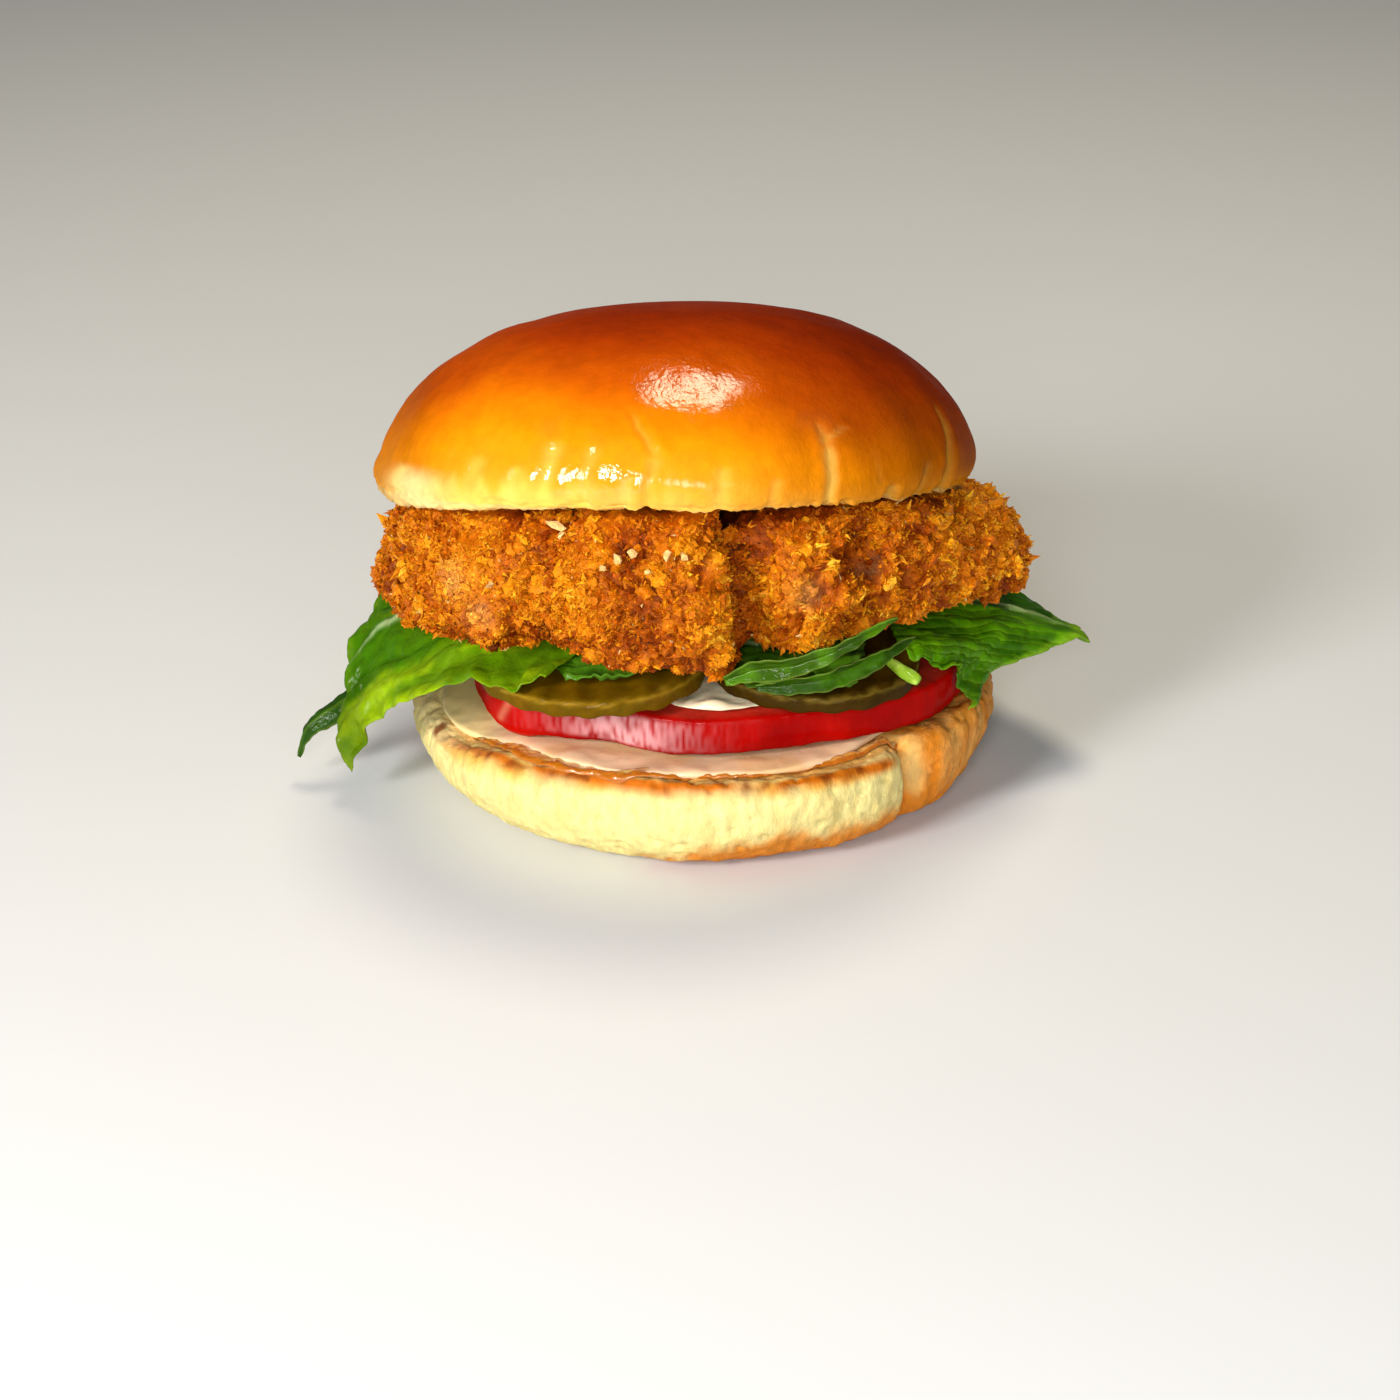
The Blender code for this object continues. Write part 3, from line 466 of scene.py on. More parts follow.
def crown_tint(points, degrees, height, around, pleats, cracks, pale):
    """Dark on top, golden at the side, paler along the rim and in the creases; painted shade darkens both
    ends, and the right end is also browned.
    """
    x = points[:, 0]
    # shifts up the ramp to darker colours: on the right partly browning and partly painted shade, at the left
    # edge painted shade
    baked = 0.33 * np.maximum(0.0, x - 6.0) + 0.34 * np.maximum(0.0, -x - 34.0)
    shade = height + 2.4 * grain(points, 24.0, 8) + 0.9 * grain(points, 6.0, 9)
    colors = ramp(shade + baked * ease((height + 2.0) / 6.0), CROWN_COLORS)
    streaks = ease((pleats - 0.1) / 0.6) * ease((10.0 - height) / 8.0)
    washed = 0.50 * hill(degrees, *CROWN_WASHED) * ease((5.0 + 3.0 * grain(around, 4.0, 16) - height) / 4.0)
    colors = mix(colors, CROWN_PALE, washed + 0.16 * streaks + pale * ease((14.0 - height) / 4.0))
    colors = mix(colors, CROWN_IN_CRACK, 0.7 * ease(cracks / 0.6 - 0.35))
    colors = mix(colors, CROWN_FOOT, ease((0.4 - height) / 0.6))
    # painted shade: the right side darker, most on its lower part, and the left edge darker
    shaded = 0.46 * ease((x + 4.0) / 44.0) * (0.55 + 0.45 * ease((22.0 - height) / 12.0))
    colors *= (1.0 - shaded - 0.30 * ease((-x - 40.0) / 8.0))[:, None]
    return mix(colors, CROWN_CREAM, 0.75 * hill(degrees, *CROWN_CREAM_SPOT) * ease((5.5 - height) / 3.0))


def dress_crown():
    obj = refined("bun_top", "upper_bun", 3)
    points = places(obj)
    degrees, away, height = crown_axes(points)
    turn = np.radians(degrees)
    around = warped(np.stack([np.cos(turn) * 50, np.sin(turn) * 50, 0.2 * height], axis=1), 11.0, 3.5, 2)
    patchy = ease(0.4 + 1.2 * grain(points, 14.0, 1))
    pleats = patchy * (grain(around, 6.0, 3) + 0.6 * grain(around, 2.4, 4))
    cracks, pale = crown_cracks(points, degrees, away, height)
    swell(obj, crown_relief(points, degrees, away, height, pleats, cracks))
    colors = crown_tint(points, degrees, height, around, pleats, cracks, pale)
    gloss = crown_gloss(points, degrees, away, height)
    colors *= (1.0 - 0.10 * gloss * ease((height - 12.0) / 3.0))[:, None]
    paint(obj, colors, gloss)
    made = material("glazed_crust", (2.6, EVEN, 0.90, 1.08), (5.0, 0.45, 0.6), CROWN_WRINKLES,
                    coat=1.0, coat_rough=0.05, specular=0.0)
    finish_piece(obj, "glazed_bread", made, "bun_top")


HEEL_PALE = (0.81, 0.70, 0.29)
HEEL_STREAK = (0.76, 0.52, 0.14)
HEEL_GOLD = (0.66, 0.21, 0.013)
HEEL_TOAST = (0.54, 0.135, 0.004)
HEEL_BURNT = (0.22, 0.040, 0.003)
HEEL_CREAM = (0.93, 0.72, 0.34)
HEEL_RIM = (0.84, 0.42, 0.03)
HEEL_CUT = (0.78, 0.38, 0.07)
HEEL_SPOT = (-45.3, -18.0, 12.6)
HEEL_SPOT_WIDTH = 1.7
HEEL_CREASE = (-44.0, 2.4, 1.4)
HEEL_RIM_RADIUS = 48.6
HEEL_RIM_RISE = 0.9
HEEL_RIM_FRONT = (-92.0, 40.0)
HEEL_HOLLOW = (-168.0, 17.0)


def heel_relief(points, degrees, around, right, crease):
    """Wrinkles, pores, the crease at the front right and the swollen crumb on either side of it."""
    at, depth, _ = HEEL_CREASE
    wrinkles = (0.30 + 0.25 * right) * grain(around, 3.2, 21) + 0.22 * grain(around, 1.5, 22)
    pores = -0.5 * ease((grain(points, 1.9, 23) - 0.42) / 0.2)
    pores = pores - 0.25 * ease((grain(points, 0.9, 19) - 0.4) / 0.2)
    lip = bell(degrees - at - 7.0, 5.0) + 0.6 * bell(degrees - at + 6.0, 4.0)
    return wrinkles + pores + 0.35 * grain(points, 8.0, 24) - depth * crease + 0.6 * lip


def heel_side_tint(points, degrees, around, right):
    """Pale crumb, streaked, gold at the back and at the right, and browned at the foot."""
    z = points[:, 2]
    back = ease((np.abs(degrees + 90) - 80.0) / 25.0)
    shade = grain(around, 5.0, 25) + 0.6 * grain(around, 2.0, 26)
    streaked = ease(0.35 + 1.1 * grain(around, 1.6, 31) + 0.6 * grain(around, 4.0, 32))
    colors = mix(HEEL_PALE, HEEL_STREAK, 0.30 * streaked)
    colors = mix(colors, HEEL_GOLD, np.maximum(right, back) * (0.85 + 0.25 * shade))
    turned_in = ease((degrees + 114.0) / 34.0) * ease((HEEL_CREASE[0] + 30.0 - degrees) / 10.0)
    colors = mix(colors, HEEL_GOLD, 0.95 * ease((1.0 + 8.2 * turned_in + 1.6 * shade - z) / 4.2))
    return mix(colors, HEEL_TOAST, 0.55 * ease((1.0 + 2.6 * turned_in - z + 1.2 * shade) / 2.4))


def heel_rim_tint(colors, points, degrees, radius, right):
    """The toasted line round the cut face, burnt in places, with gold on either side of it."""
    top = ease((points[:, 2] - 11.0 - 3.0 * ease((degrees + 142.0) / 30.0)) / 1.6) * (1.0 - 0.8 * right)
    edge = radius - HEEL_RIM_RADIUS + 0.4 * grain(points, 5.0, 27)
    soft = bell(edge - 0.8, 1.6) * top
    colors = mix(colors, HEEL_RIM, 0.85 * soft * ease(0.6 + 1.2 * grain(points, 7.0, 18)))
    colors = mix(colors, HEEL_CUT, 0.8 * ease((-edge - 0.8) / 1.0) * top)
    line = bell(edge - 0.4, 0.9) * top
    colors = mix(colors, HEEL_TOAST, 1.1 * line * ease(0.9 + 0.8 * grain(points, 6.0, 28)))
    burnt = ease(0.15 + 1.6 * grain(points, 2.6, 29) + grain(points, 9.0, 20))
    return mix(colors, HEEL_BURNT, 0.9 * line * burnt)


def dress_heel():
    obj = refined("bun_bottom", "lower_bun", 3)
    points = places(obj)
    z = points[:, 2]
    degrees, radius = bearing(points), np.hypot(points[:, 0], points[:, 1])
    around = points * (1.0, 1.0, 0.3)
    side = ease((radius - 38.0) / 8.0)
    at, _, width = HEEL_CREASE
    right = ease((degrees - at + 1.0) / 5.0)
    crease = bell(degrees - at + 0.12 * (z - 9.0), width)
    dents = heel_relief(points, degrees, around, right, crease)
    rise = np.zeros_like(points)
    rise[:, 2] = HEEL_RIM_RISE * bell(radius - HEEL_RIM_RADIUS, 1.5) * ease((z - 12.0) / 3.0)
    rise[:, 2] *= hill(degrees, *HEEL_RIM_FRONT)
    move(obj, points + normals(obj) * (side * dents * ease(z / 3.0))[:, None] + rise)
    colors = heel_side_tint(points, degrees, around, right)
    colors = heel_rim_tint(colors, points, degrees, radius, right)
    hollow = hill(degrees, *HEEL_HOLLOW) * ease((50.6 - radius) / 1.2) * (z > 8.0) * side
    colors = mix(colors, HEEL_CREAM, 1.2 * hollow)
    spot = blob(points, HEEL_SPOT, HEEL_SPOT_WIDTH)
    colors = mix(colors, HEEL_BURNT, 0.9 * ease(spot * 1.6 + 0.3 * grain(points, 1.2, 17) - 0.2))
    colors = mix(colors, HEEL_GOLD, 0.7 * crease * side)
    paint(obj, colors)
    crumb = [(1.6, (1.0, 1.0, 0.3), 0.34, 5.0), (0.5, EVEN, 0.10, 3.0)]
    made = material("toasted_crumb", (1.2, (1.0, 1.0, 0.4), 0.80, 1.08), (4.0, 0.55, 0.75), crumb,
                    subsurface=0.15, depth=0.002, specular=0.08)
    finish_piece(obj, "toasted_bread", made, "bun_bottom")


CRUST_COLORS = (
    # height over the smoothed surface, then the colour: the low stops darken the clefts with painted shade,
    # the high stops are the fried colour of crumbs that stand out
    (-3.2, 0.080, 0.008, 0.0003),
    (-1.9, 0.22, 0.029, 0.0006),
    (-0.8, 0.42, 0.088, 0.001),
    (0.3, 0.60, 0.180, 0.003),
    (1.3, 0.74, 0.285, 0.006),
    (2.4, 0.88, 0.450, 0.030),
)
CRUST_PALE = (0.70, 0.45, 0.17)
CRUST_THIN = (0.72, 0.40, 0.13)
CRUST_FOOT = 34.0
CRUST_TALL = 24.0
FLAKES = 24000
GRIT = 14000
CHUNKS = 900
PALE_SHARE = 0.988
CLEFTS = (
    # degrees at the underside and at the top, depth, width in degrees
    (-78.0, -84.0, 2.3, 2.8),
    (-58.0, -50.0, 1.8, 2.8),
    (-128.0, -121.0, 0.8, 2.4),
)
STEP = (-82.0, -88.0, 1.4, 18.0)
MASSES = (
    # where the crust swells or is broken away, how far and how wide
    (-39.8, -36.3, 46.0, 1.4, 9.0),
    (-30.0, -41.0, 50.0, 0.9, 6.0),
    (-33.0, -40.0, 39.0, 1.6, 5.0),
    (-26.2, -41.0, 38.5, -3.6, 3.6),
    (-20.0, -44.0, 38.0, -1.6, 2.6),
    (-12.0, -46.0, 40.0, 1.6, 4.5),
    (-3.0, -48.0, 43.0, 1.8, 5.0),
    (-1.5, -48.0, 50.0, 1.8, 4.0),
    (1.0, -45.0, 55.0, 1.2, 3.0),
    (-14.0, -46.0, 49.0, -1.1, 3.0),
    (-22.0, -43.0, 45.0, -0.9, 2.6),
    (18.0, -41.0, 45.0, 1.2, 7.0),
    (25.2, -33.6, 54.6, -2.6, 3.4),
    (33.0, -36.0, 46.0, 1.2, 5.0),
    (43.0, -27.0, 44.0, -1.3, 3.0),
)
CRUST_TONES = (
    # place, width and how much darker or lighter the crust is painted there: fried tone, with painted shade
    # in the pocket and beside the ridge
    (-2.5, -48.5, 49.0, 6.0, -1.5),
    (-12.0, -46.0, 50.0, 5.0, -0.5),
    (-36.0, -38.0, 38.5, 6.0, -1.0),
    (-26.2, -41.0, 38.3, 3.4, -1.6),
    (-18.0, -45.0, 39.0, 3.0, -0.8),
    (7.0, -42.0, 52.0, 3.5, -0.8),
    (20.0, -40.0, 40.0, 5.0, 0.6),
    (38.0, -33.0, 43.0, 5.0, -0.6),
    (50.0, -15.0, 48.0, 7.0, 0.3),
)
PALE_FLAKES = (
    # place, then thickness, length and width of the cream-coloured flakes that stand out
    (-23.2, -39.6, 58.4, 1.1, 3.0, 1.4),
    (-22.6, -39.8, 57.0, 1.1, 2.0, 1.2),
    (-13.3, -47.8, 56.1, 1.1, 2.0, 1.5),
    (-11.1, -47.8, 57.3, 1.1, 1.6, 1.5),
    (-5.5, -48.8, 57.2, 1.1, 2.0, 1.4),
    (-3.0, -48.6, 57.1, 1.0, 1.6, 1.3),
    (-15.6, -47.6, 54.6, 0.9, 1.5, 1.1),
    (-8.6, -48.6, 54.4, 0.7, 1.2, 0.9),
)
PALE_PATCHES = (
    # thin, greyish gold places of the crust: place and width
    (-35.5, -38.9, 43.4, 2.2),
    (-39.8, -36.3, 47.9, 2.6),
    (16.0, -41.0, 47.5, 2.4),
    (28.0, -37.0, 50.0, 2.0),
)


def shards(points, size, seed):
    """Height of a surface of broken flakes: each cell is a tilted facet with a height of its own."""
    number, offset, _ = cells(warped(points, size, 0.35 * size, seed), size, seed)
    tilt = 2.0 * thirds(number) - 1.0
    level = thirds(hashed(np.stack([number, number >> 5, number >> 11], axis=-1), seed + 1))[:, 0]
    return level - 0.5 + 0.9 * (offset * tilt).sum(axis=1)


def clumps(points, size, seed):
    """Rounded lumps with clefts between them: 1 on a lump and 0 in a cleft."""
    number, _, gap = cells(warped(points, 0.7 * size, 0.4 * size, seed), size, seed)
    return ease(gap / 0.5) * (0.55 + 0.45 * thirds(number)[:, 2])


def crust_height(points):
    """How far the crust stands out: clumps of crumbs, calmer in places, with clefts and broken pockets."""
    calm = ease(0.5 + 1.6 * grain(points, 15.0, 30))
    height = (0.30 + 0.70 * calm) * (2.3 * clumps(points, 6.0, 31) + 1.5 * clumps(points, 2.8, 36) - 2.1)
    return height + 0.65 * shards(points, 1.9, 32) + 0.35 * shards(points, 1.1, 33)


def crust_masses(points):
    """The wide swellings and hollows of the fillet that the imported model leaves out."""
    degrees = bearing(points)
    climb = np.clip((points[:, 2] - CRUST_FOOT) / CRUST_TALL, 0.0, 1.0)
    height = np.zeros(len(points))
    for foot, top, depth, width in CLEFTS:
        height -= depth * hill(degrees, foot + (top - foot) * climb, width)
    foot, top, depth, width = STEP
    past = degrees - (foot + (top - foot) * climb)
    dropped = ease(past / 3.0) * ease((width - past) / (0.8 * width))
    height += depth * (0.8 * hill(past, -3.0, 5.0) - dropped)
    for x, y, z, depth, width in MASSES:
        height += depth * blob(points, (x, y, z), width)
    return height


def crust_tint(points, height):
    """Colour of the crust from how far it stands out and from wide, slow patches, with painted shade in its
    clefts, hollows and pockets and a painted shadow from the upper bun.
    """
    # painted shade: the hollows of the wide masses turn darker and the swellings lighter
    height = height + 0.35 * crust_masses(points)
    for x, y, z, width, shift in CRUST_TONES:
        height += shift * blob(points, (x, y, z), width)
    patch = grain(points, 11.0, 34)
    fine = grain(points, 1.6, 35)
    low_front = ease((41.0 - points[:, 2]) / 8.0)
    # painted shadow of the upper bun along the top of the fillet, stronger to the right
    under_bun = ease((points[:, 2] - 56.0) / 4.0) * ease((points[:, 0] + 12.0) / 20.0)
    colors = ramp(height + 0.8 * patch + 0.4 * fine - 0.8 * low_front - 1.3 * under_bun, CRUST_COLORS)
    for x, y, z, width in PALE_PATCHES:
        colors = mix(colors, CRUST_THIN, 0.35 * blob(points, (x, y, z), width))
    return colors


def crumbs_show(middle, out):
    """Where crumbs may lie: on what stands out, round the sides and not under the fillet."""
    standing = ease((crust_height(middle) + 1.5) / 2.2)
    outside = np.hypot(middle[:, 0], middle[:, 1]) > 36.0
    return (0.03 + standing) * outside * ease((0.95 - np.abs(out[:, 2])) / 0.4)


def scatter(obj, count, rng):
    """Random places on the crust by area, with their normals."""
    mesh = obj.data
    mesh.calc_loop_triangles()
    corners = np.empty(3 * len(mesh.loop_triangles), np.int32)
    mesh.loop_triangles.foreach_get("vertices", corners)
    points, around = places(obj), normals(obj)
    triangles = corners.reshape(-1, 3)
    a, b, c = (points[triangles[:, k]] for k in range(3))
    cross = np.cross(b - a, c - a)
    area = 0.5 * np.linalg.norm(cross, axis=1)
    area *= crumbs_show((a + b + c) / 3.0, cross / np.maximum(2.0 * area, 1e-9)[:, None])
    chosen = rng.choice(len(triangles), count, p=area / area.sum())
    share = rng.random((count, 2))
    share = np.where(share.sum(axis=1, keepdims=True) > 1.0, 1.0 - share, share)
    u, v = share[:, :1], share[:, 1:]
    found = a[chosen] * (1 - u - v) + b[chosen] * u + c[chosen] * v
    a, b, c = (around[triangles[chosen, k]] for k in range(3))
    return found, unit(a * (1 - u - v) + b * u + c * v)


def turned(axes, rng, tilt):
    """Random frames: the first axis near the given one, the others any way round."""
    first = unit(axes + tilt * rng.normal(size=axes.shape))
    second = unit(np.cross(first, rng.normal(size=axes.shape)))
    return first, second, np.cross(first, second)


def crumbs(name, centers, axes, sizes, rng, template, tilt):
    """Many small angular pieces as one mesh. sizes are (thickness, length, width) of each."""
    corners, faces = template
    first, second, third = turned(axes, rng, tilt)
    uneven = rng.normal(size=(len(centers), len(corners), 3)).clip(-1.6, 1.6)
    shape = 0.5 * (corners[None] * (1.0 + 0.38 * uneven)) * sizes[:, None, :]
    points = centers[:, None] + shape[..., :1] * first[:, None] + shape[..., 1:2] * second[:, None]
    points += shape[..., 2:] * third[:, None]
    rows = faces[None] + len(corners) * np.arange(len(centers))[:, None, None]
    return add_mesh(name, points.reshape(-1, 3), rows.reshape(-1, 3), smooth=False)


def finish_crumbs(obj, colors, made):
    """Paints each crumb in one colour."""
    paint(obj, np.repeat(colors, len(obj.data.vertices) // len(colors), axis=0))
    finish_piece(obj, "fried_breading", made)


def ball(levels):
    bm = bmesh.new()
    bmesh.ops.create_icosphere(bm, subdivisions=levels, radius=1.0)
    corners = np.array([v.co for v in bm.verts])
    faces = np.array([[v.index for v in f.verts] for f in bm.faces])
    bm.free()
    return corners, faces


def octahedron():
    corners = np.array([(1, 0, 0), (-1, 0, 0), (0, 1, 0), (0, -1, 0), (0, 0, 1), (0, 0, -1)], float)
    faces = [(0, 2, 4), (2, 1, 4), (1, 3, 4), (3, 0, 4), (2, 0, 5), (1, 2, 5), (3, 1, 5), (0, 3, 5)]
    return corners, np.array(faces)


def add_flakes(crust, made, rng):
    centers, axes = scatter(crust, FLAKES, rng)
    big = rng.random(FLAKES) > 0.93
    coarse = ease(grain(centers, 7.0, 37) * 2.0)
    length = 0.45 + (0.6 + 0.9 * coarse) * rng.random(FLAKES) ** 1.8 + 0.7 * big
    upright = rng.random(FLAKES) > 0.6
    thick = np.where(upright, 1.5, 0.55)
    long = np.where(upright, 0.6, 1.1 + 0.7 * rng.random(FLAKES))
    sizes = np.stack([thick * length, long * length, 0.6 * length], axis=1)
    stand = rng.random(FLAKES)
    centers = centers + axes * (0.22 * stand * length)[:, None]
    flakes = crumbs("crust_flakes", centers, axes, sizes, rng, octahedron(), 0.5)
    lift = crust_height(centers) - 0.1 + 1.1 * stand + 0.5 * rng.normal(size=FLAKES)
    colors = crust_tint(centers, lift)
    colors[rng.random(FLAKES) > PALE_SHARE] = CRUST_PALE
    finish_crumbs(flakes, colors, made)


def add_grit(crust, made, rng):
    centers, axes = scatter(crust, GRIT, rng)
    length = 0.16 + 0.36 * rng.random(GRIT)
    sizes = np.stack([(0.8 + 1.2 * rng.random(GRIT)) * length, length, 0.8 * length], axis=1)
    centers = centers + axes * (0.15 + 0.5 * rng.random(GRIT)[:, None] * length[:, None])
    grit = crumbs("crust_grit", centers, axes, sizes, rng, octahedron(), 0.6)
    lift = crust_height(centers) + 0.4 + 0.8 * rng.normal(size=GRIT)
    finish_crumbs(grit, crust_tint(centers, lift), made)


def add_pale_flakes(made, rng):
    flakes = np.array(PALE_FLAKES)
    outward = unit(flakes[:, :3] * (1.0, 1.0, 0.0))
    strands = crumbs("pale_flakes", flakes[:, :3], outward, flakes[:, 3:], rng, ball(1), 0.25)
    finish_crumbs(strands, np.tile(CRUST_PALE, (len(flakes), 1)), made)


def add_chunks(crust, made, rng):
    centers, axes = scatter(crust, CHUNKS, rng)
    length = 1.4 + 1.4 * rng.random(CHUNKS) ** 2
    sizes = np.stack([0.65 * length, 1.1 * length, 0.8 * length], axis=1)
    chunks = crumbs("crust_chunks", centers, axes, sizes, rng, ball(2), 0.4)
    lift = crust_height(centers) + 0.3 + 0.4 * rng.normal(size=CHUNKS)
    finish_crumbs(chunks, crust_tint(centers, lift), made)


def dress_chicken():
    crust = refined("chicken", "fried_crust", 2)
    points = places(crust)
    sideways = ease((1.15 - np.abs(normals(crust)[:, 2])) / 0.8)
    swell(crust, crust_masses(points))
    height = crust_height(points)
    swell(crust, (0.25 + 0.75 * sideways) * height)
    paint(crust, crust_tint(points, height))
    # the breading gets painted glints (size 0.55, threshold 0.69, gain 0.8): tiny bright spots in its colour
    made = material("breading", (0.8, EVEN, 0.78, 1.18), (0.9, 0.20, 0.60),
                    [(0.8, EVEN, 0.24, 5.0), (0.32, EVEN, 0.12, 3.0)], (0.55, 0.69, 0.8),
                    specular=0.22, specular_tint=(1.0, 0.75, 0.35, 1.0),
                    subsurface=0.20, depth=0.0012, spread=(1.0, 0.4, 0.1))
    finish_piece(crust, "fried_breading", made, "chicken")
    rng = np.random.default_rng(5)
    add_flakes(crust, made, rng)
    add_grit(crust, made, rng)
    add_pale_flakes(made, rng)
    add_chunks(crust, made, rng)


TOMATO_RED = (0.43, 0.003, 0.001)
TOMATO_DEEP = (0.27, 0.001, 0.001)
TOMATO_EDGE = (0.60, 0.06, 0.03)
# painted highlight: a pale pinkish colour streaked into the skin where it shines
TOMATO_BLOOM = (0.74, 0.40, 0.42)
# a pale line down the corner of the slice: a split in the skin with a painted highlight on that edge
TOMATO_SEAM = (0.66, 0.26, 0.14)
TOMATO_BLOOM_AT = -109.5
TOMATO_SEAM_AT = -137.5
SAUCE_PINK = (0.88, 0.61, 0.37)
SAUCE_AMBER = (0.80, 0.42, 0.12)
FILM_TAN = (0.78, 0.45, 0.14)
FILM_GOLD = (0.72, 0.29, 0.03)
FILM_EDGE = (0.48, 0.13, 0.003)
FILM_FROM = 44.0
FILM_BED = 16.0
FILM_THICKNESS = 0.5
FILM_REACH = (
    # angle, how far the thin glossy film runs past the sauce's edge
    (-158.0, 0.0), (-146.0, 1.0), (-138.0, 1.6), (-130.0, 3.0), (-122.0, 4.0), (-113.0, 3.8), (-106.0, 4.3),
    (-99.0, 2.2), (-92.0, 0.6), (-80.0, 0.8), (-70.0, 0.3), (-60.0, 0.9), (-52.0, 0.3), (-44.0, 0.0),
)
MAYO_WHITE = (0.78, 0.65, 0.45)
PICKLE_SEAM = (0.05, 0.05, 0.01)
PICKLES = (
    # node, piece, colour of the flesh and of the skin, seed
    ("pickle_left", "pickle_chip_left", (0.125, 0.062, 0.001), (0.115, 0.066, 0.001), 71),
    ("pickle_right", "pickle_chip_right", (0.048, 0.023, 0.001), (0.036, 0.018, 0.001), 75),
)


def dress_tomato():
    obj = refined("tomato", "tomato_slice", 3)
    points = places(obj)
    upright = points * (1.0, 1.0, 0.12)
    swell(obj, 0.22 * grain(upright, 5.0, 41) + 0.10 * grain(upright, 2.0, 42))
    z = points[:, 2]
    degrees = bearing(points)
    colors = mix(TOMATO_RED, TOMATO_DEEP, 0.5 + 0.8 * grain(points, 12.0, 43))
    edge = np.maximum(ease((z - 25.2) / 0.6), ease((18.6 - z) / 0.8))
    colors = mix(colors, TOMATO_EDGE, 0.5 * edge)
    band = ease((z - 18.8) / 1.2) * ease((25.2 - z) / 1.2)
    # painted highlight: pale streaks up the side of the skin at the front left
    fibres = 0.62 + 0.5 * grain(upright, 1.0, 44) + 0.8 * grain(points * (1.0, 1.0, 0.15), 0.5, 45)
    colors = mix(colors, TOMATO_BLOOM, 0.85 * band * hill(degrees, TOMATO_BLOOM_AT, 14.0) * ease(fibres))
    # pale corner line: painted highlight on the edge over the split in the skin
    seam = hill(degrees, TOMATO_SEAM_AT + 0.8 * (z - 22.0), 1.1)
    paint(obj, mix(colors, TOMATO_SEAM, 0.45 * band * seam))
    skin = [(0.9, (1.0, 1.0, 0.10), 0.10, 4.0), (2.6, (1.0, 1.0, 0.5), 0.12, 2.0)]
    made = material("tomato_skin", (4.0, EVEN, 0.82, 1.08), (3.0, 0.16, 0.28), skin,
                    coat=0.10, coat_rough=0.06, specular=0.0, subsurface=0.03, depth=0.002)
    finish_piece(obj, "tomato_flesh", made, "tomato")


def dress_sauce():
    obj = refined("sauce", "pink_sauce_layer", 3)
    points = places(obj)
    radius = np.hypot(points[:, 0], points[:, 1])
    edge = ease((radius - 38.0) / 5.0)
    swell(obj, edge * (0.35 + 0.30 * grain(points, 7.0, 51) + 0.15 * grain(points, 3.0, 52)))
    colors = mix(SAUCE_PINK, SAUCE_AMBER, 0.4 * ease(grain(points, 9.0, 53) * 2.0))
    paint(obj, mix(colors, HEEL_CREAM, ease((-32.0 - points[:, 0]) / 6.0)))
    made = material("creamy_sauce", (6.0, EVEN, 0.96, 1.04), (4.0, 0.18, 0.3), [(4.0, EVEN, 0.16, 2.0)],
                    coat=0.4, coat_rough=0.1, specular=0.15, subsurface=0.2, depth=0.002)
    finish_piece(obj, "pink_sauce", made, "sauce")


def dress_film():
    """The thin glossy film that the sauce leaves on the lower bun."""
    heel = piece_tree(bpy.data.objects["lower_bun"])
    degrees = np.linspace(FILM_REACH[0][0], FILM_REACH[-1][0], 200)
    reach = np.interp(degrees, *np.array(FILM_REACH).T) * (1.0 + 0.30 * line_noise(degrees, 9.0, 54))
    angles = np.radians(degrees)
    shares = np.linspace(0.0, 1.0, 16)
    rows = []
    for share in shares:
        dome = 0.30 + 0.45 * math.sqrt(max(0.0, 1.0 - share**4))
        from_center = FILM_FROM + share * np.maximum(0.2, reach + 1.0)
        ground = list(zip(from_center * np.cos(angles), from_center * np.sin(angles)))
        beds = [top_of(heel, x, y) for x, y in ground]
        rows.append([(x, y, (FILM_BED if bed is None else bed) + dome) for (x, y), bed in zip(ground, beds)])
    obj = thick_sheet("sauce_film", np.array(rows), FILM_THICKNESS)
    colors = mix(FILM_TAN, FILM_GOLD, ease(0.3 + grain(places(obj), 5.0, 55)))
    outer = np.tile(np.repeat(shares, len(degrees)), 2)
    paint(obj, mix(colors, FILM_EDGE, 0.95 * ease((outer - 0.62) / 0.22)))
    drops = [(3.0, EVEN, 0.9, 2.0), (1.0, EVEN, 0.15, 2.0)]
    made = material("glossy_film", (3.0, EVEN, 0.9, 1.08), (3.0, 0.12, 0.2), drops,
                    coat=1.0, coat_rough=0.04, specular=0.2, subsurface=0.3, depth=0.002)
    finish_piece(obj, "pink_sauce", made)


def dress_mayo():
    obj = refined("mayo", "white_mayo", 3)
    points = places(obj)
    swell(obj, 0.25 * grain(points, 6.0, 61) + 0.1 * grain(points, 2.5, 62))
    paint(obj, np.tile(MAYO_WHITE, (len(points), 1)))
    made = material("mayonnaise", (6.0, EVEN, 0.97, 1.03), (4.0, 0.2, 0.32), [(3.0, EVEN, 0.15, 2.0)],
                    coat=0.4, coat_rough=0.12, subsurface=0.3, depth=0.002)
    finish_piece(obj, "white_mayonnaise", made, "mayo")


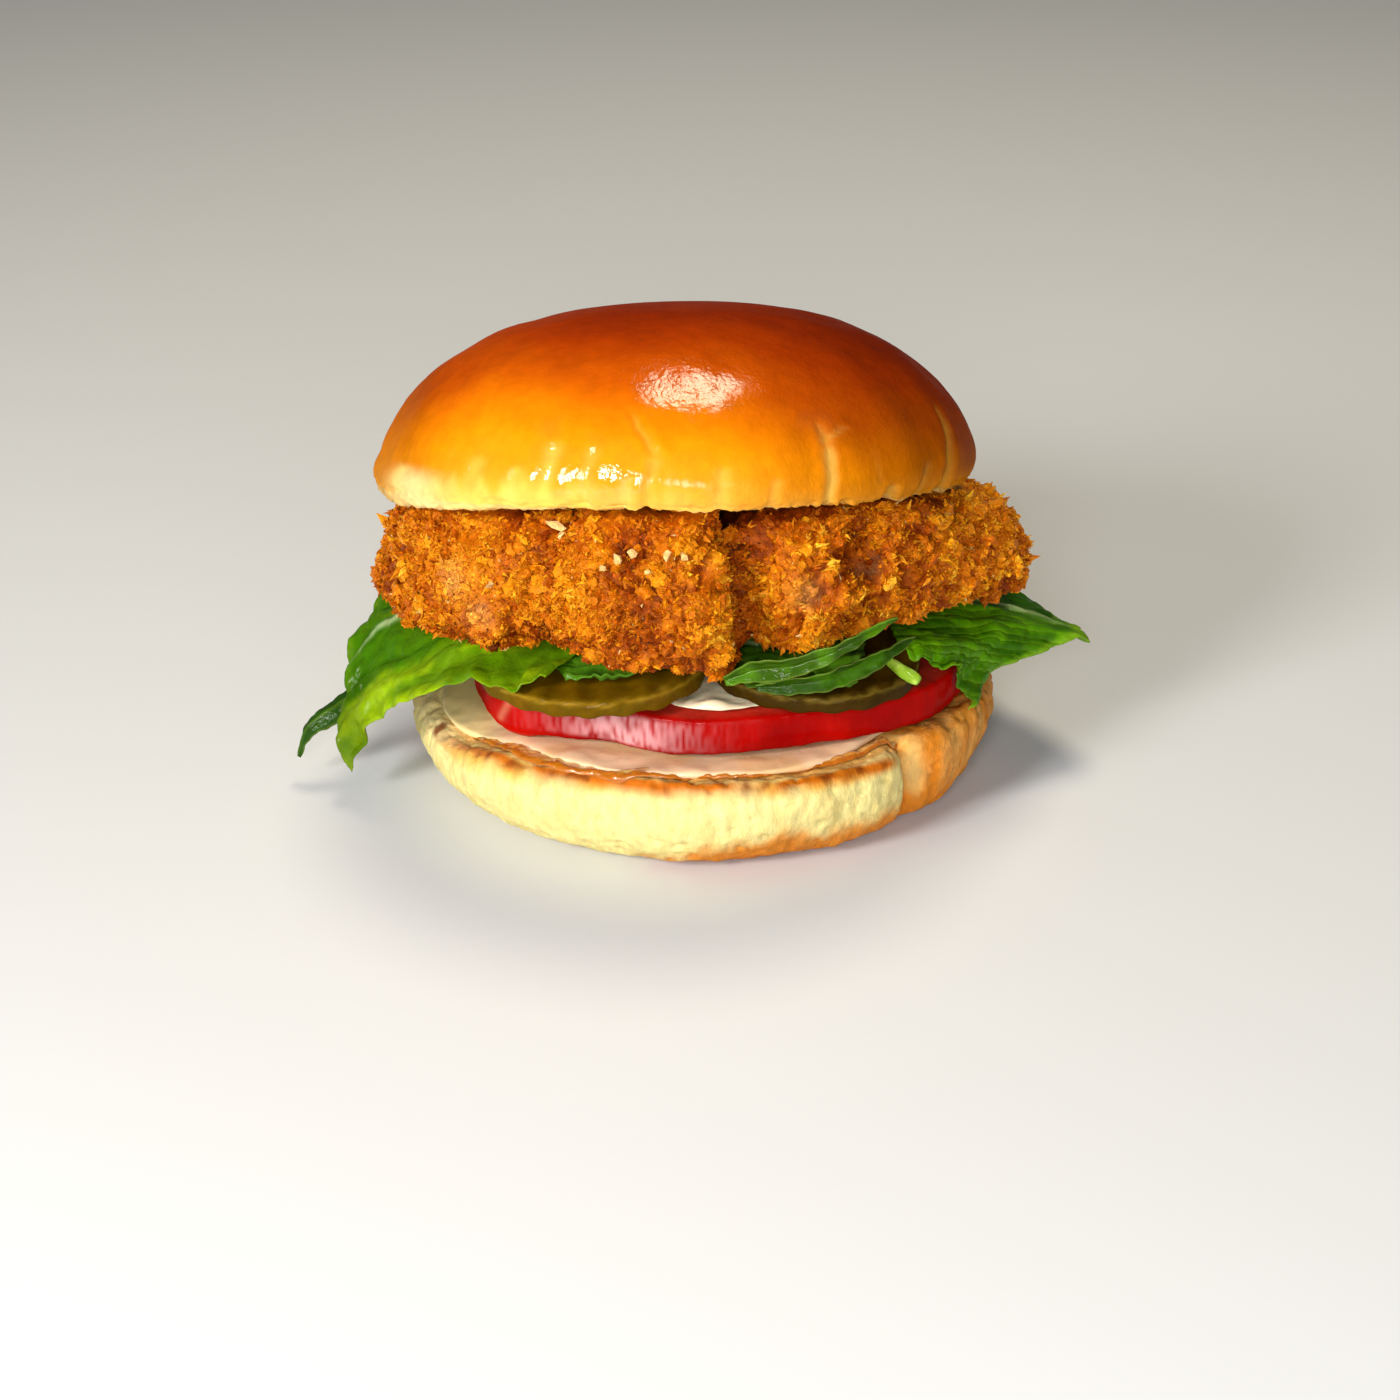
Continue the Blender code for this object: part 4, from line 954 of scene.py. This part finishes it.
def dress_pickle(node_name, name, flesh, skin, seed, made):
    obj = refined(node_name, name, 2)
    points = places(obj)
    low, high = (np.array(corner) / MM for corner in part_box(node_name))
    middle, radius = 0.5 * (low + high)[:2], 0.5 * (high - low)[0]
    away = np.hypot(points[:, 0] - middle[0], points[:, 1] - middle[1]) / radius
    swell(obj, 0.12 * grain(points, 4.0, seed) + 0.06 * grain(points, 1.5, seed + 1))
    rim = ease((away - 0.93) / 0.05)
    colors = mix(flesh, skin, rim * ease(0.7 + grain(points, 5.0, seed + 2)))
    from_top = points[:, 2] - high[2]
    seam = bell(from_top + 1.3 + 0.4 * grain(points, 2.2, seed + 3), 0.28) * rim
    colors = mix(colors, np.array(flesh) * 1.5, 0.5 * ease((from_top + 0.9) / 0.6))
    paint(obj, mix(colors, np.array(flesh) * 2.0 + PICKLE_SEAM, 0.8 * seam))
    finish_piece(obj, "pickle_flesh", made, node_name)


def dress_pickles():
    flesh = [(2.0, EVEN, 0.12, 3.0), (0.7, EVEN, 0.04, 3.0)]
    made = material("pickle", (2.0, EVEN, 0.8, 1.15), (3.0, 0.2, 0.35), flesh,
                    coat=0.12, coat_rough=0.07, specular=0.0, subsurface=0.15, depth=0.002)
    for row in PICKLES:
        dress_pickle(*row, made)


LEAF_LEFT = (
    ((-4, 42, 28.6), (-10, 16, 30.0), (-14, -6, 32.4), (-17, -24, 34.2), (-25.5, -44.0, 33.6)),
    ((-19, 44, 27.8), (-24, 16, 29.6), (-25, -7, 32.2), (-27, -25, 34.2), (-31, -45.0, 33.0)),
    ((-33, 40, 26.8), (-36, 16, 29.2), (-37, -8, 31.6), (-38, -22, 33.2), (-39.5, -39.5, 30.2)),
    ((-46, 33, 26.2), (-48, 14, 28.2), (-49, -8, 28.8), (-49, -20, 27.2), (-50.5, -30, 22.6)),
    ((-52.5, 26, 25.8), (-55, 11, 26.8), (-57, -6, 25.8), (-57, -15, 21.4), (-55.8, -23, 14.5)),
    ((-56, 21, 25.4), (-59, 6, 24.4), (-62, -8, 20.2), (-62.8, -15.5, 13.4), (-61.2, -20.5, 3.2)),
)
LEAF_RIGHT = (
    (
        (2, 43, 28.6), (8, 20, 29.8), (17, 4, 30.4), (29, -5, 31.6), (31, -16, 33.0), (32, -26, 33.2),
        (34, -33, 32.4),
    ),
    (
        (20, 45, 27.4), (27, 24, 29.2), (34, 6, 29.8), (38, -5, 30.4), (38.5, -16, 31.8), (39, -25, 31.6),
        (39, -31, 30.4),
    ),
    (
        (36, 41, 26.2), (43, 23, 27.6), (46, 8, 28.4), (46, -3, 28.8), (46, -12, 28.8), (45, -19, 28.0),
        (42.5, -27.5, 28.2),
    ),
    (
        (49, 33, 22.6), (54, 19, 24.2), (56, 8, 25.8), (55.5, -2, 26.6), (53.5, -9, 26.4), (48.5, -16, 25.2),
        (43.5, -25, 23.2),
    ),
    (
        (53, 24, 18.6), (59, 16, 19.6), (65, 9, 20.8), (69, 1, 21.0), (63, -6, 22.6), (51.5, -15, 22.4),
        (43.6, -24, 18.4),
    ),
)
LEAF_CENTER = (
    ((-24, -22, 32.6), (-25, -29, 32.6), (-24.5, -35, 32.6), (-22, -41, 32.6)),
    ((-16, -21, 32.6), (-16, -28, 32.6), (-16.5, -35, 33.0), (-16.5, -42, 32.8)),
    ((-8, -21, 32.6), (-8, -27, 32.6), (-8, -33, 33.0), (-9, -39, 33.7)),
    ((-1, -21, 32.6), (-1, -26, 32.6), (-1.5, -32, 32.8), (-2.5, -37, 33.4)),
)
LEAF_FRONT = (
    ((2, -12, 32.2), (2, -24, 32.3), (1.5, -33, 32.9), (1.0, -40.5, 32.6)),
    ((10, -9, 32.2), (9, -24, 32.5), (8.5, -34, 33.6), (7, -44.2, 32.2)),
    ((19, -9, 32.2), (18, -24, 32.6), (17, -35, 33.8), (17, -44.6, 32.3)),
    ((28, -11, 32.2), (28, -22, 32.5), (27, -31, 33.2), (25.5, -41.5, 32.6)),
)
STRIP_LONG = (
    (3.4, -46.0, 34.4, 1.6), (8.0, -46.2, 36.2, 3.8), (14.0, -48.2, 37.9, 3.5), (20.0, -48.6, 40.3, 2.8),
    (25.4, -47.0, 42.8, 2.1), (30.8, -43.6, 44.4, 0.8),
)
STRIP_SHORT = (
    (8.5, -45.8, 33.3, 1.4), (13.5, -46.4, 33.8, 3.0), (19.0, -46.2, 34.5, 4.0), (24.4, -43.6, 35.4, 4.2),
    (29.4, -41.0, 36.8, 3.0), (34.0, -38.0, 38.6, 0.9),
)
STRIP_CURL = (
    (-50.5, -7.0, 18.4, 4.0), (-57.0, -8.5, 16.6, 5.0), (-62.0, -10.5, 14.0, 5.0), (-65.6, -12.0, 12.0, 4.2),
    (-68.4, -12.6, 9.6, 3.0), (-70.3, -12.6, 4.6, 0.9),
)
LEAF_THICKNESS = 0.5
STRIP_THICKNESS = 0.45
LEAF_ROOF_CLEARANCE = 1.05
LEAF_FLOOR_CLEARANCE = 0.95
RIB_PALE = (0.50, 0.62, 0.30)
RIB_END = (0.20, 0.34, 0.02)
RIB_END_BRIGHT = (0.34, 0.50, 0.07)
STRIP_RIB = (0.18, 0.32, 0.02)
STRIP_EDGE = (0.30, 0.42, 0.06)
# back is where the painted shade on the leaf's back part ends, shade_green its colour, curled and tip how far
# the edge turns pale and the tip dark
YELLOW_GREEN = {
    "base": (0.095, 0.215, 0.001), "vein": (0.27, 0.42, 0.02), "bright": (0.24, 0.38, 0.002),
    "shade_green": (0.030, 0.125, 0.001), "back": 0.83, "curled": 0.1, "tip": 0.45,
}
DEEP_GREEN = {
    "base": (0.030, 0.125, 0.001), "vein": (0.17, 0.34, 0.01), "bright": (0.075, 0.24, 0.001),
    "shade_green": (0.016, 0.075, 0.001), "back": 0.40, "curled": 0.8, "parallel": 0.045,
}
DARK_GREEN = {
    "base": (0.016, 0.060, 0.002), "vein": (0.14, 0.28, 0.03), "bright": (0.05, 0.15, 0.003),
    "shade_green": (0.010, 0.040, 0.002), "back": 0.2, "curled": 0.2,
}
LEAVES = (
    # piece, node, slot, its net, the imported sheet's grid, depth, number and phase of its waves, the leaves
    # it lies on, the grid made here, where its rib runs, its colours, its seed and its frill
    ("leaf_left", "lettuce_left", "bright_leaf", LEAF_LEFT, (17, 14), (1.0, 2.5, 0.0),
     ("lettuce_center", "lettuce_curl"), (200, 200), (0.38, 0.57), YELLOW_GREEN, 81, 0.9),
    ("leaf_right", "lettuce_right", "bright_leaf", LEAF_RIGHT, (14, 15), (0.9, 2.5, 2.0),
     ("lettuce_front",), (170, 200), (0.30, 0.50), DEEP_GREEN, 91, 0.9),
    ("leaf_center", "lettuce_center", "dark_leaf", LEAF_CENTER, (8, 8), (0.5, 1.5, 0.4),
     (), (90, 80), (0.2, 0.8), DARK_GREEN, 101, 0.5),
    ("leaf_front", "lettuce_front", "dark_leaf", LEAF_FRONT, (10, 8), (0.6, 2.0, 1.1),
     (), (110, 90), (0.3, 0.7), DARK_GREEN, 111, 0.5),
)
STRIPS = (
    # piece, node, slot, its line, how far it stands on edge, its colour and its seed
    ("leaf_tip_long", "lettuce_strip_long", "bright_leaf", STRIP_LONG, 0.85, (0.026, 0.072, 0.001), 121),
    ("leaf_tip_short", "lettuce_strip_short", "dark_leaf", STRIP_SHORT, 0.8, (0.018, 0.056, 0.001), 131),
    ("leaf_curl", "lettuce_curl", "dark_leaf", STRIP_CURL, 0.35, (0.018, 0.060, 0.004), 141),
)
UNDER_LETTUCE = ("bun_bottom", "sauce", "tomato", "mayo", "pickle_left", "pickle_right")


def smooth_line(points, count):
    """A curve through the points, sampled evenly in its parameter."""
    points = np.asarray(points, float)
    padded = np.concatenate([2 * points[:1] - points[1:2], points, 2 * points[-1:] - points[-2:-1]])
    at = np.linspace(0, len(points) - 1, count)
    i = np.minimum(at.astype(int), len(points) - 2)
    t = (at - i).reshape((-1,) + (1,) * (points.ndim - 1))
    p0, p1, p2, p3 = (padded[i + k] for k in range(4))
    bend, twist = 2 * p0 - 5 * p1 + 4 * p2 - p3, 3 * p1 - p0 - 3 * p2 + p3
    return 0.5 * (2 * p1 + (p2 - p0) * t + bend * t**2 + twist * t**3)


def leaf_grid(net, rows, columns):
    """A grid of points on the smooth sheet through a net."""
    along = smooth_line(net, rows)
    return np.swapaxes(smooth_line(np.swapaxes(along, 0, 1), columns), 0, 1)


def grid_normals(grid):
    return unit(np.cross(np.gradient(grid, axis=0), np.gradient(grid, axis=1)))


def sheet_normals(grid):
    """Normals of a sheet, turned to its upper side."""
    found = grid_normals(grid)
    return found if found[grid.shape[0] // 2, grid.shape[1] // 2, 2] > 0 else -found


def ruffle(grid, depth, waves, phase):
    """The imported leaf's waves, which grow towards its outer and front edges."""
    rows, columns = grid.shape[:2]
    u = np.linspace(0, 1, rows)[:, None]
    v = np.linspace(0, 1, columns)[None, :]
    rim = np.clip((u - 0.55) / 0.45, 0, 1) ** 2 * np.sin(2 * np.pi * waves * v + phase)
    front = np.clip((v - 0.72) / 0.28, 0, 1) ** 2 * np.sin(2 * np.pi * waves * u + phase + 1.3)
    back = np.clip((0.2 - v) / 0.2, 0, 1) ** 2 * np.sin(2 * np.pi * waves * u + phase + 2.1)
    return grid + grid_normals(grid) * (depth * (rim + front + back))[:, :, None]


def settle(grid, below, above):
    """Lifts the leaf off what lies below it and lowers it from what lies above."""
    grid = grid.copy()
    for point in grid.reshape(-1, 3):
        x, y = point[0], point[1]
        roofs = [foot_of(tree, x, y) for tree in above]
        point[2] = min([point[2]] + [z - LEAF_ROOF_CLEARANCE for z in roofs if z is not None])
        floors = [top_of(tree, x, y) for tree in below]
        point[2] = max([point[2]] + [z + LEAF_FLOOR_CLEARANCE for z in floors if z is not None])
    return grid


def sampled(grid, u, v):
    """Points of a dense grid at any places, u down its rows and v along its columns, both from 0 to 1."""
    rows, columns = grid.shape[:2]
    i = np.clip(u, 0, 1) * (rows - 1)
    j = np.clip(v, 0, 1) * (columns - 1)
    i0 = np.minimum(i.astype(int), rows - 2)
    j0 = np.minimum(j.astype(int), columns - 2)
    s, t = (i - i0)[..., None], (j - j0)[..., None]
    near = grid[i0, j0] * (1 - t) + grid[i0, j0 + 1] * t
    far = grid[i0 + 1, j0] * (1 - t) + grid[i0 + 1, j0 + 1] * t
    return near * (1 - s) + far * s

def thick_sheet(name, grid, thickness):
    """A closed thin sheet round a grid of points, with rounded edges."""
    rows, columns = grid.shape[:2]
    up = sheet_normals(grid)
    i = np.minimum(np.arange(rows), np.arange(rows)[::-1])[:, None]
    j = np.minimum(np.arange(columns), np.arange(columns)[::-1])[None, :]
    half = 0.5 * thickness * np.minimum(1.0, 0.35 + 0.25 * np.minimum(i, j))[:, :, None]
    points = np.vstack([(grid + half * up).reshape(-1, 3), (grid - half * up).reshape(-1, 3)])
    count = rows * columns
    index = np.arange(count).reshape(rows, columns)
    a, b = index[:-1, :-1].ravel(), index[1:, :-1].ravel()
    c, d = index[1:, 1:].ravel(), index[:-1, 1:].ravel()
    first = np.stack([a, b, c, d], axis=1)
    border = np.array([*index[:, 0], *index[-1, 1:], *index[-2::-1, -1], *index[0, -2:0:-1]])
    ahead = np.roll(border, -1)
    rim = np.stack([border, border + count, ahead + count, ahead], axis=1)
    across = np.cross(grid[1, 0] - grid[0, 0], grid[0, 1] - grid[0, 0])
    if across @ up[0, 0] < 0:
        first, rim = first[:, ::-1], rim[:, ::-1]
    return add_mesh(name, points, np.vstack([first, count + first[:, ::-1], rim]))


def flattened(u, v):
    """Rows of points from two numbers on a grid."""
    return np.stack([u, v, np.zeros_like(u)], axis=-1).reshape(-1, 3)


def from_line(phase, spacing):
    """How far each place is from the nearest of many evenly spaced lines."""
    return np.abs(phase - np.round(phase)) * spacing


def veined(u, v, rib, spacing, slant, seed):
    """How near each place of a leaf is to its main rib and to its side veins, 1 on them."""
    away = v - (rib[0] + (rib[1] - rib[0]) * u)
    main = bell(away, 0.013) * ease((1.02 - u) / 0.3)
    wobble = 0.35 * spacing * grain(flattened(u, v), 0.16, seed).reshape(u.shape)
    phase = (u - slant * np.abs(away) + wobble + 0.5 * spacing * (away > 0)) / spacing
    side = bell(from_line(phase, spacing), 0.011) * ease((0.6 - np.abs(away)) / 0.4)
    return main, side


def parallel_veins(u, v, spacing, seed):
    """Veins that run side by side towards the leaf's outer edge."""
    bend = 0.25 * spacing * grain(flattened(u, 0.4 * v), 0.2, seed).reshape(u.shape)
    return bell(from_line((v + 0.10 * u + bend) / spacing, spacing), 0.16 * spacing)


def nibbled(along, depth, seed):
    """The share of a leaf that is missing at its edge, for places along that edge."""
    notches = np.abs(line_noise(40 * along, 1.2, seed + 1))
    return depth * (1 + line_noise(40 * along, 3.5, seed)) + 0.006 * notches


def leaf_tint(flat, u, v, look, seed, side, main, blister, folds):
    """Colours of a leaf's upper side, a row for each point."""
    shade = grain(flat, 13.0, seed + 7) + 0.8 * grain(flat, 5.0, seed + 8) + 0.4 * grain(flat, 2.2, seed + 11)
    # lighter where the folds stand up, a painted highlight along the folds, mixed with lighter and darker
    # patches of the leaf's own colour
    colors = mix(look["base"], look["bright"], ease(0.4 + 0.8 * shade + 1.1 * folds))
    colors = mix(colors, look["vein"], 0.35 * side + 0.10 * (1 - blister))
    # painted shade on the back part of the leaf, where it lies under the chicken
    back = look["back"] + 0.03 * grain(flat, 5.0, seed + 10) - v
    colors = mix(colors, look["shade_green"], 0.85 * ease(back / 0.06))
    tip = ease((u - 0.70) / 0.25) * ease((v - 0.55) / 0.25)
    colors = colors * (1.0 - look.get("tip", 0.0) * tip)[:, None]
    colors = mix(colors, RIB_PALE, 0.6 * main)
    return mix(colors, look["vein"], ease((u - 0.93) / 0.05) * look["curled"])


def leaf(name, node_name, slot, made, coarse, size, rib, look, seed, frill):
    """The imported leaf's sheet with veins, blisters, folds, a frilled edge and an uneven outline."""
    rows, columns = size
    dense = leaf_grid(coarse, 4 * coarse.shape[0], 4 * coarse.shape[1])
    u = np.linspace(0, 1, rows)[:, None] * np.ones((1, columns))
    v = np.ones((rows, 1)) * np.linspace(0, 1, columns)[None, :]
    grid = sampled(dense, u * (1 - nibbled(v, 0.018, seed)), v * (1 - nibbled(u, 0.014, seed + 2)))
    flat = grid.reshape(-1, 3)
    main, side = veined(u, v, rib, 0.16, 0.55, seed)
    if "parallel" in look:
        side = np.maximum(0.4 * side, parallel_veins(u, v, look["parallel"], seed))
    blister = ease(cells(warped(flat, 4.0, 0.9, seed), 4.2, seed)[2].reshape(u.shape) / 0.55)
    wave = line_noise(40 * v, 2.6, seed + 4) * ease((u - 0.78) / 0.22)
    wave += line_noise(40 * u, 2.6, seed + 5) * ease((v - 0.82) / 0.18)
    lengthwise = warped(flattened(2.2 * u, 9.0 * v), 1.0, 0.3, seed)
    folds = grain(lengthwise, 1.0, seed + 9).reshape(u.shape)
    relief = 0.26 * (blister - 0.5) - 0.22 * side + 0.25 * main + frill * 1.3 * wave + 1.1 * folds
    relief += 0.30 * grain(flat, 6.0, seed + 6).reshape(u.shape)
    obj = thick_sheet(name, grid + sheet_normals(grid) * relief[:, :, None], LEAF_THICKNESS)
    flat_looks = (part.ravel() for part in (side, main, blister, folds))
    upper = leaf_tint(flat, u.ravel(), v.ravel(), look, seed, *flat_looks)
    paint(obj, np.vstack([upper, mix(upper, look["vein"], np.full(len(upper), 0.25))]))
    finish_piece(obj, slot, made, node_name)


def strip(name, node_name, slot, made, line, rise, color, seed):
    """A narrow leaf that follows a line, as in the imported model, with a fold down its middle."""
    middle = smooth_line(line, 100)
    forward = unit(np.gradient(middle[:, :3], axis=0))
    flat = unit(np.cross(forward, (0.0, 0.0, 1.0)))
    side = unit(rise * np.cross(flat, forward) + (1 - rise) * flat)
    out = np.cross(forward, side)
    share = np.linspace(-1, 1, 25)[None, :]
    along = np.linspace(0, 60, 100)[:, None]
    uneven = 1 + 0.14 * line_noise(along, 7.0, seed) + 0.04 * line_noise(along, 2.2, seed + 5)
    width = middle[:, 3:4] * uneven
    grid = middle[:, None, :3] + (0.5 * share * width)[:, :, None] * side[:, None, :]
    points = grid.reshape(-1, 3)
    relief = 0.12 * width * (2 * share**2 - 1.0) - 0.3 * bell(share, 0.14)
    rough = 0.20 * grain(points, 3.2, seed + 1) + 0.08 * grain(points, 1.4, seed + 2)
    relief = relief + rough.reshape(relief.shape)
    relief += 0.6 * line_noise(along + 3.0 * share, 5.0, seed + 4) * share**2
    obj = thick_sheet(name, grid + out[:, None, :] * relief[:, :, None], STRIP_THICKNESS)
    colors = mix(color, np.array(color) * 2.3, ease(0.1 + 1.2 * grain(points, 4.0, seed + 3)))
    spread = np.broadcast_to(share, relief.shape).ravel()
    colors = mix(colors, STRIP_RIB, 0.20 * bell(spread, 0.10))
    colors = mix(colors, STRIP_EDGE, 0.22 * ease((np.abs(spread) - 0.86) / 0.1))
    paint(obj, np.vstack([colors, colors]))
    finish_piece(obj, slot, made, node_name)


def leaf_material(name, rough):
    return material(name, (3.0, EVEN, 0.80, 1.18), rough,
                    [(2.2, EVEN, 0.30, 3.0), (0.9, EVEN, 0.12, 4.0), (0.3, EVEN, 0.03, 2.0)],
                    coat=0.26, coat_rough=0.08, specular=0.0, subsurface=0.10, depth=0.0015)


def dress_lettuce():
    trees = {name: tree_of(name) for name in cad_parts}
    floor = [trees[name] for name in UNDER_LETTUCE]
    made = {
        "bright_leaf": leaf_material("bright_lettuce", (2.5, 0.22, 0.42)),
        "dark_leaf": leaf_material("dark_lettuce", (2.5, 0.2, 0.4)),
    }
    for name, node_name, slot, net, coarse, waves, on, size, rib, look, seed, frill in LEAVES:
        below = [*floor, *(trees[other] for other in on)]
        packed = settle(ruffle(leaf_grid(net, *coarse), *waves), below, [trees["chicken"]])
        leaf(name, node_name, slot, made[slot], packed, size, rib, look, seed, frill)
    for name, node_name, slot, line, rise, color, seed in STRIPS:
        strip(name, node_name, slot, made[slot], line, rise, color, seed)
    rib = refined("lettuce_rib", "leaf_rib_end", 3)
    points = places(rib)
    swell(rib, 0.12 * grain(points, 1.4, 151))
    paint(rib, mix(RIB_END, RIB_END_BRIGHT, ease(grain(points, 2.0, 152) * 2)))
    finish_piece(rib, "leaf_rib", made["bright_leaf"], "lettuce_rib")


FLOOR_CORNERS = ((-900, -900, 0), (900, -900, 0), (900, 1200, 0), (-900, 1200, 0))
FLOOR_GREY = (0.69, 0.71, 0.75, 1.0)
FLOOR_ROUGHNESS = 0.7
STUDIO_LIGHT = (0.92, 0.95, 1.0, 1.0)
STUDIO_STRENGTH = 0.10
LIGHTS = (
    # name, place in metres, the height it is aimed at, its size, watts and colour
    ("key", (-0.46, -0.56, 0.38), 0.04, 0.24, 5.8, (1.0, 0.97, 0.92)),
    ("over", (0.066, 0.27, 0.87), 0.05, 0.32, 3.8, (1.0, 0.88, 0.62)),
    ("front", (-0.05, -0.64, 0.28), 0.03, 0.16, 2.1, (1.0, 0.98, 0.94)),
    ("fill", (0.24, -0.86, 0.24), 0.04, 0.45, 1.9, (1.0, 0.98, 0.95)),
)
CAMERA_PLACE = (-0.0005, -0.466, 0.2285)
CAMERA_TILT = math.radians(64.83)
CAMERA_LENS = 74.59
CAMERA_SENSOR = 36.0
CAMERA_CLIP = (0.01, 20.0)


def add_stage():
    floor = add_mesh("floor", FLOOR_CORNERS, [(0, 1, 2, 3)])
    made = bpy.data.materials.new("pale_floor")
    made.use_nodes = True
    shader = made.node_tree.nodes["Principled BSDF"]
    shader.inputs["Base Color"].default_value = FLOOR_GREY
    shader.inputs["Roughness"].default_value = FLOOR_ROUGHNESS
    floor.data.materials.append(made)
    world = bpy.data.worlds.new("studio")
    bpy.context.scene.world = world
    world.use_nodes = True
    background = world.node_tree.nodes["Background"]
    background.inputs["Color"].default_value = STUDIO_LIGHT
    background.inputs["Strength"].default_value = STUDIO_STRENGTH


def add_light(name, place, aimed_at, size, watts, color):
    lamp = bpy.data.lights.new(name, "AREA")
    lamp.shape = "DISK"
    lamp.size = size
    lamp.energy = watts
    lamp.color = color
    obj = add_object(name, lamp)
    obj.location = place
    obj.rotation_euler = (Vector((0, 0, aimed_at)) - Vector(place)).to_track_quat("-Z", "Y").to_euler()


def add_camera():
    data = bpy.data.cameras.new("camera")
    data.lens = CAMERA_LENS
    data.sensor_width = CAMERA_SENSOR
    data.clip_start, data.clip_end = CAMERA_CLIP
    obj = add_object("camera", data)
    obj.location = CAMERA_PLACE
    obj.rotation_euler = (CAMERA_TILT, 0.0, 0.0)
    bpy.context.scene.camera = obj


add_camera()
add_stage()
for light in LIGHTS:
    add_light(*light)
bpy.context.scene.view_settings.view_transform = "Standard"

dress_heel()
dress_sauce()
dress_film()
dress_tomato()
dress_mayo()
dress_pickles()
dress_lettuce()
dress_chicken()
dress_crown()
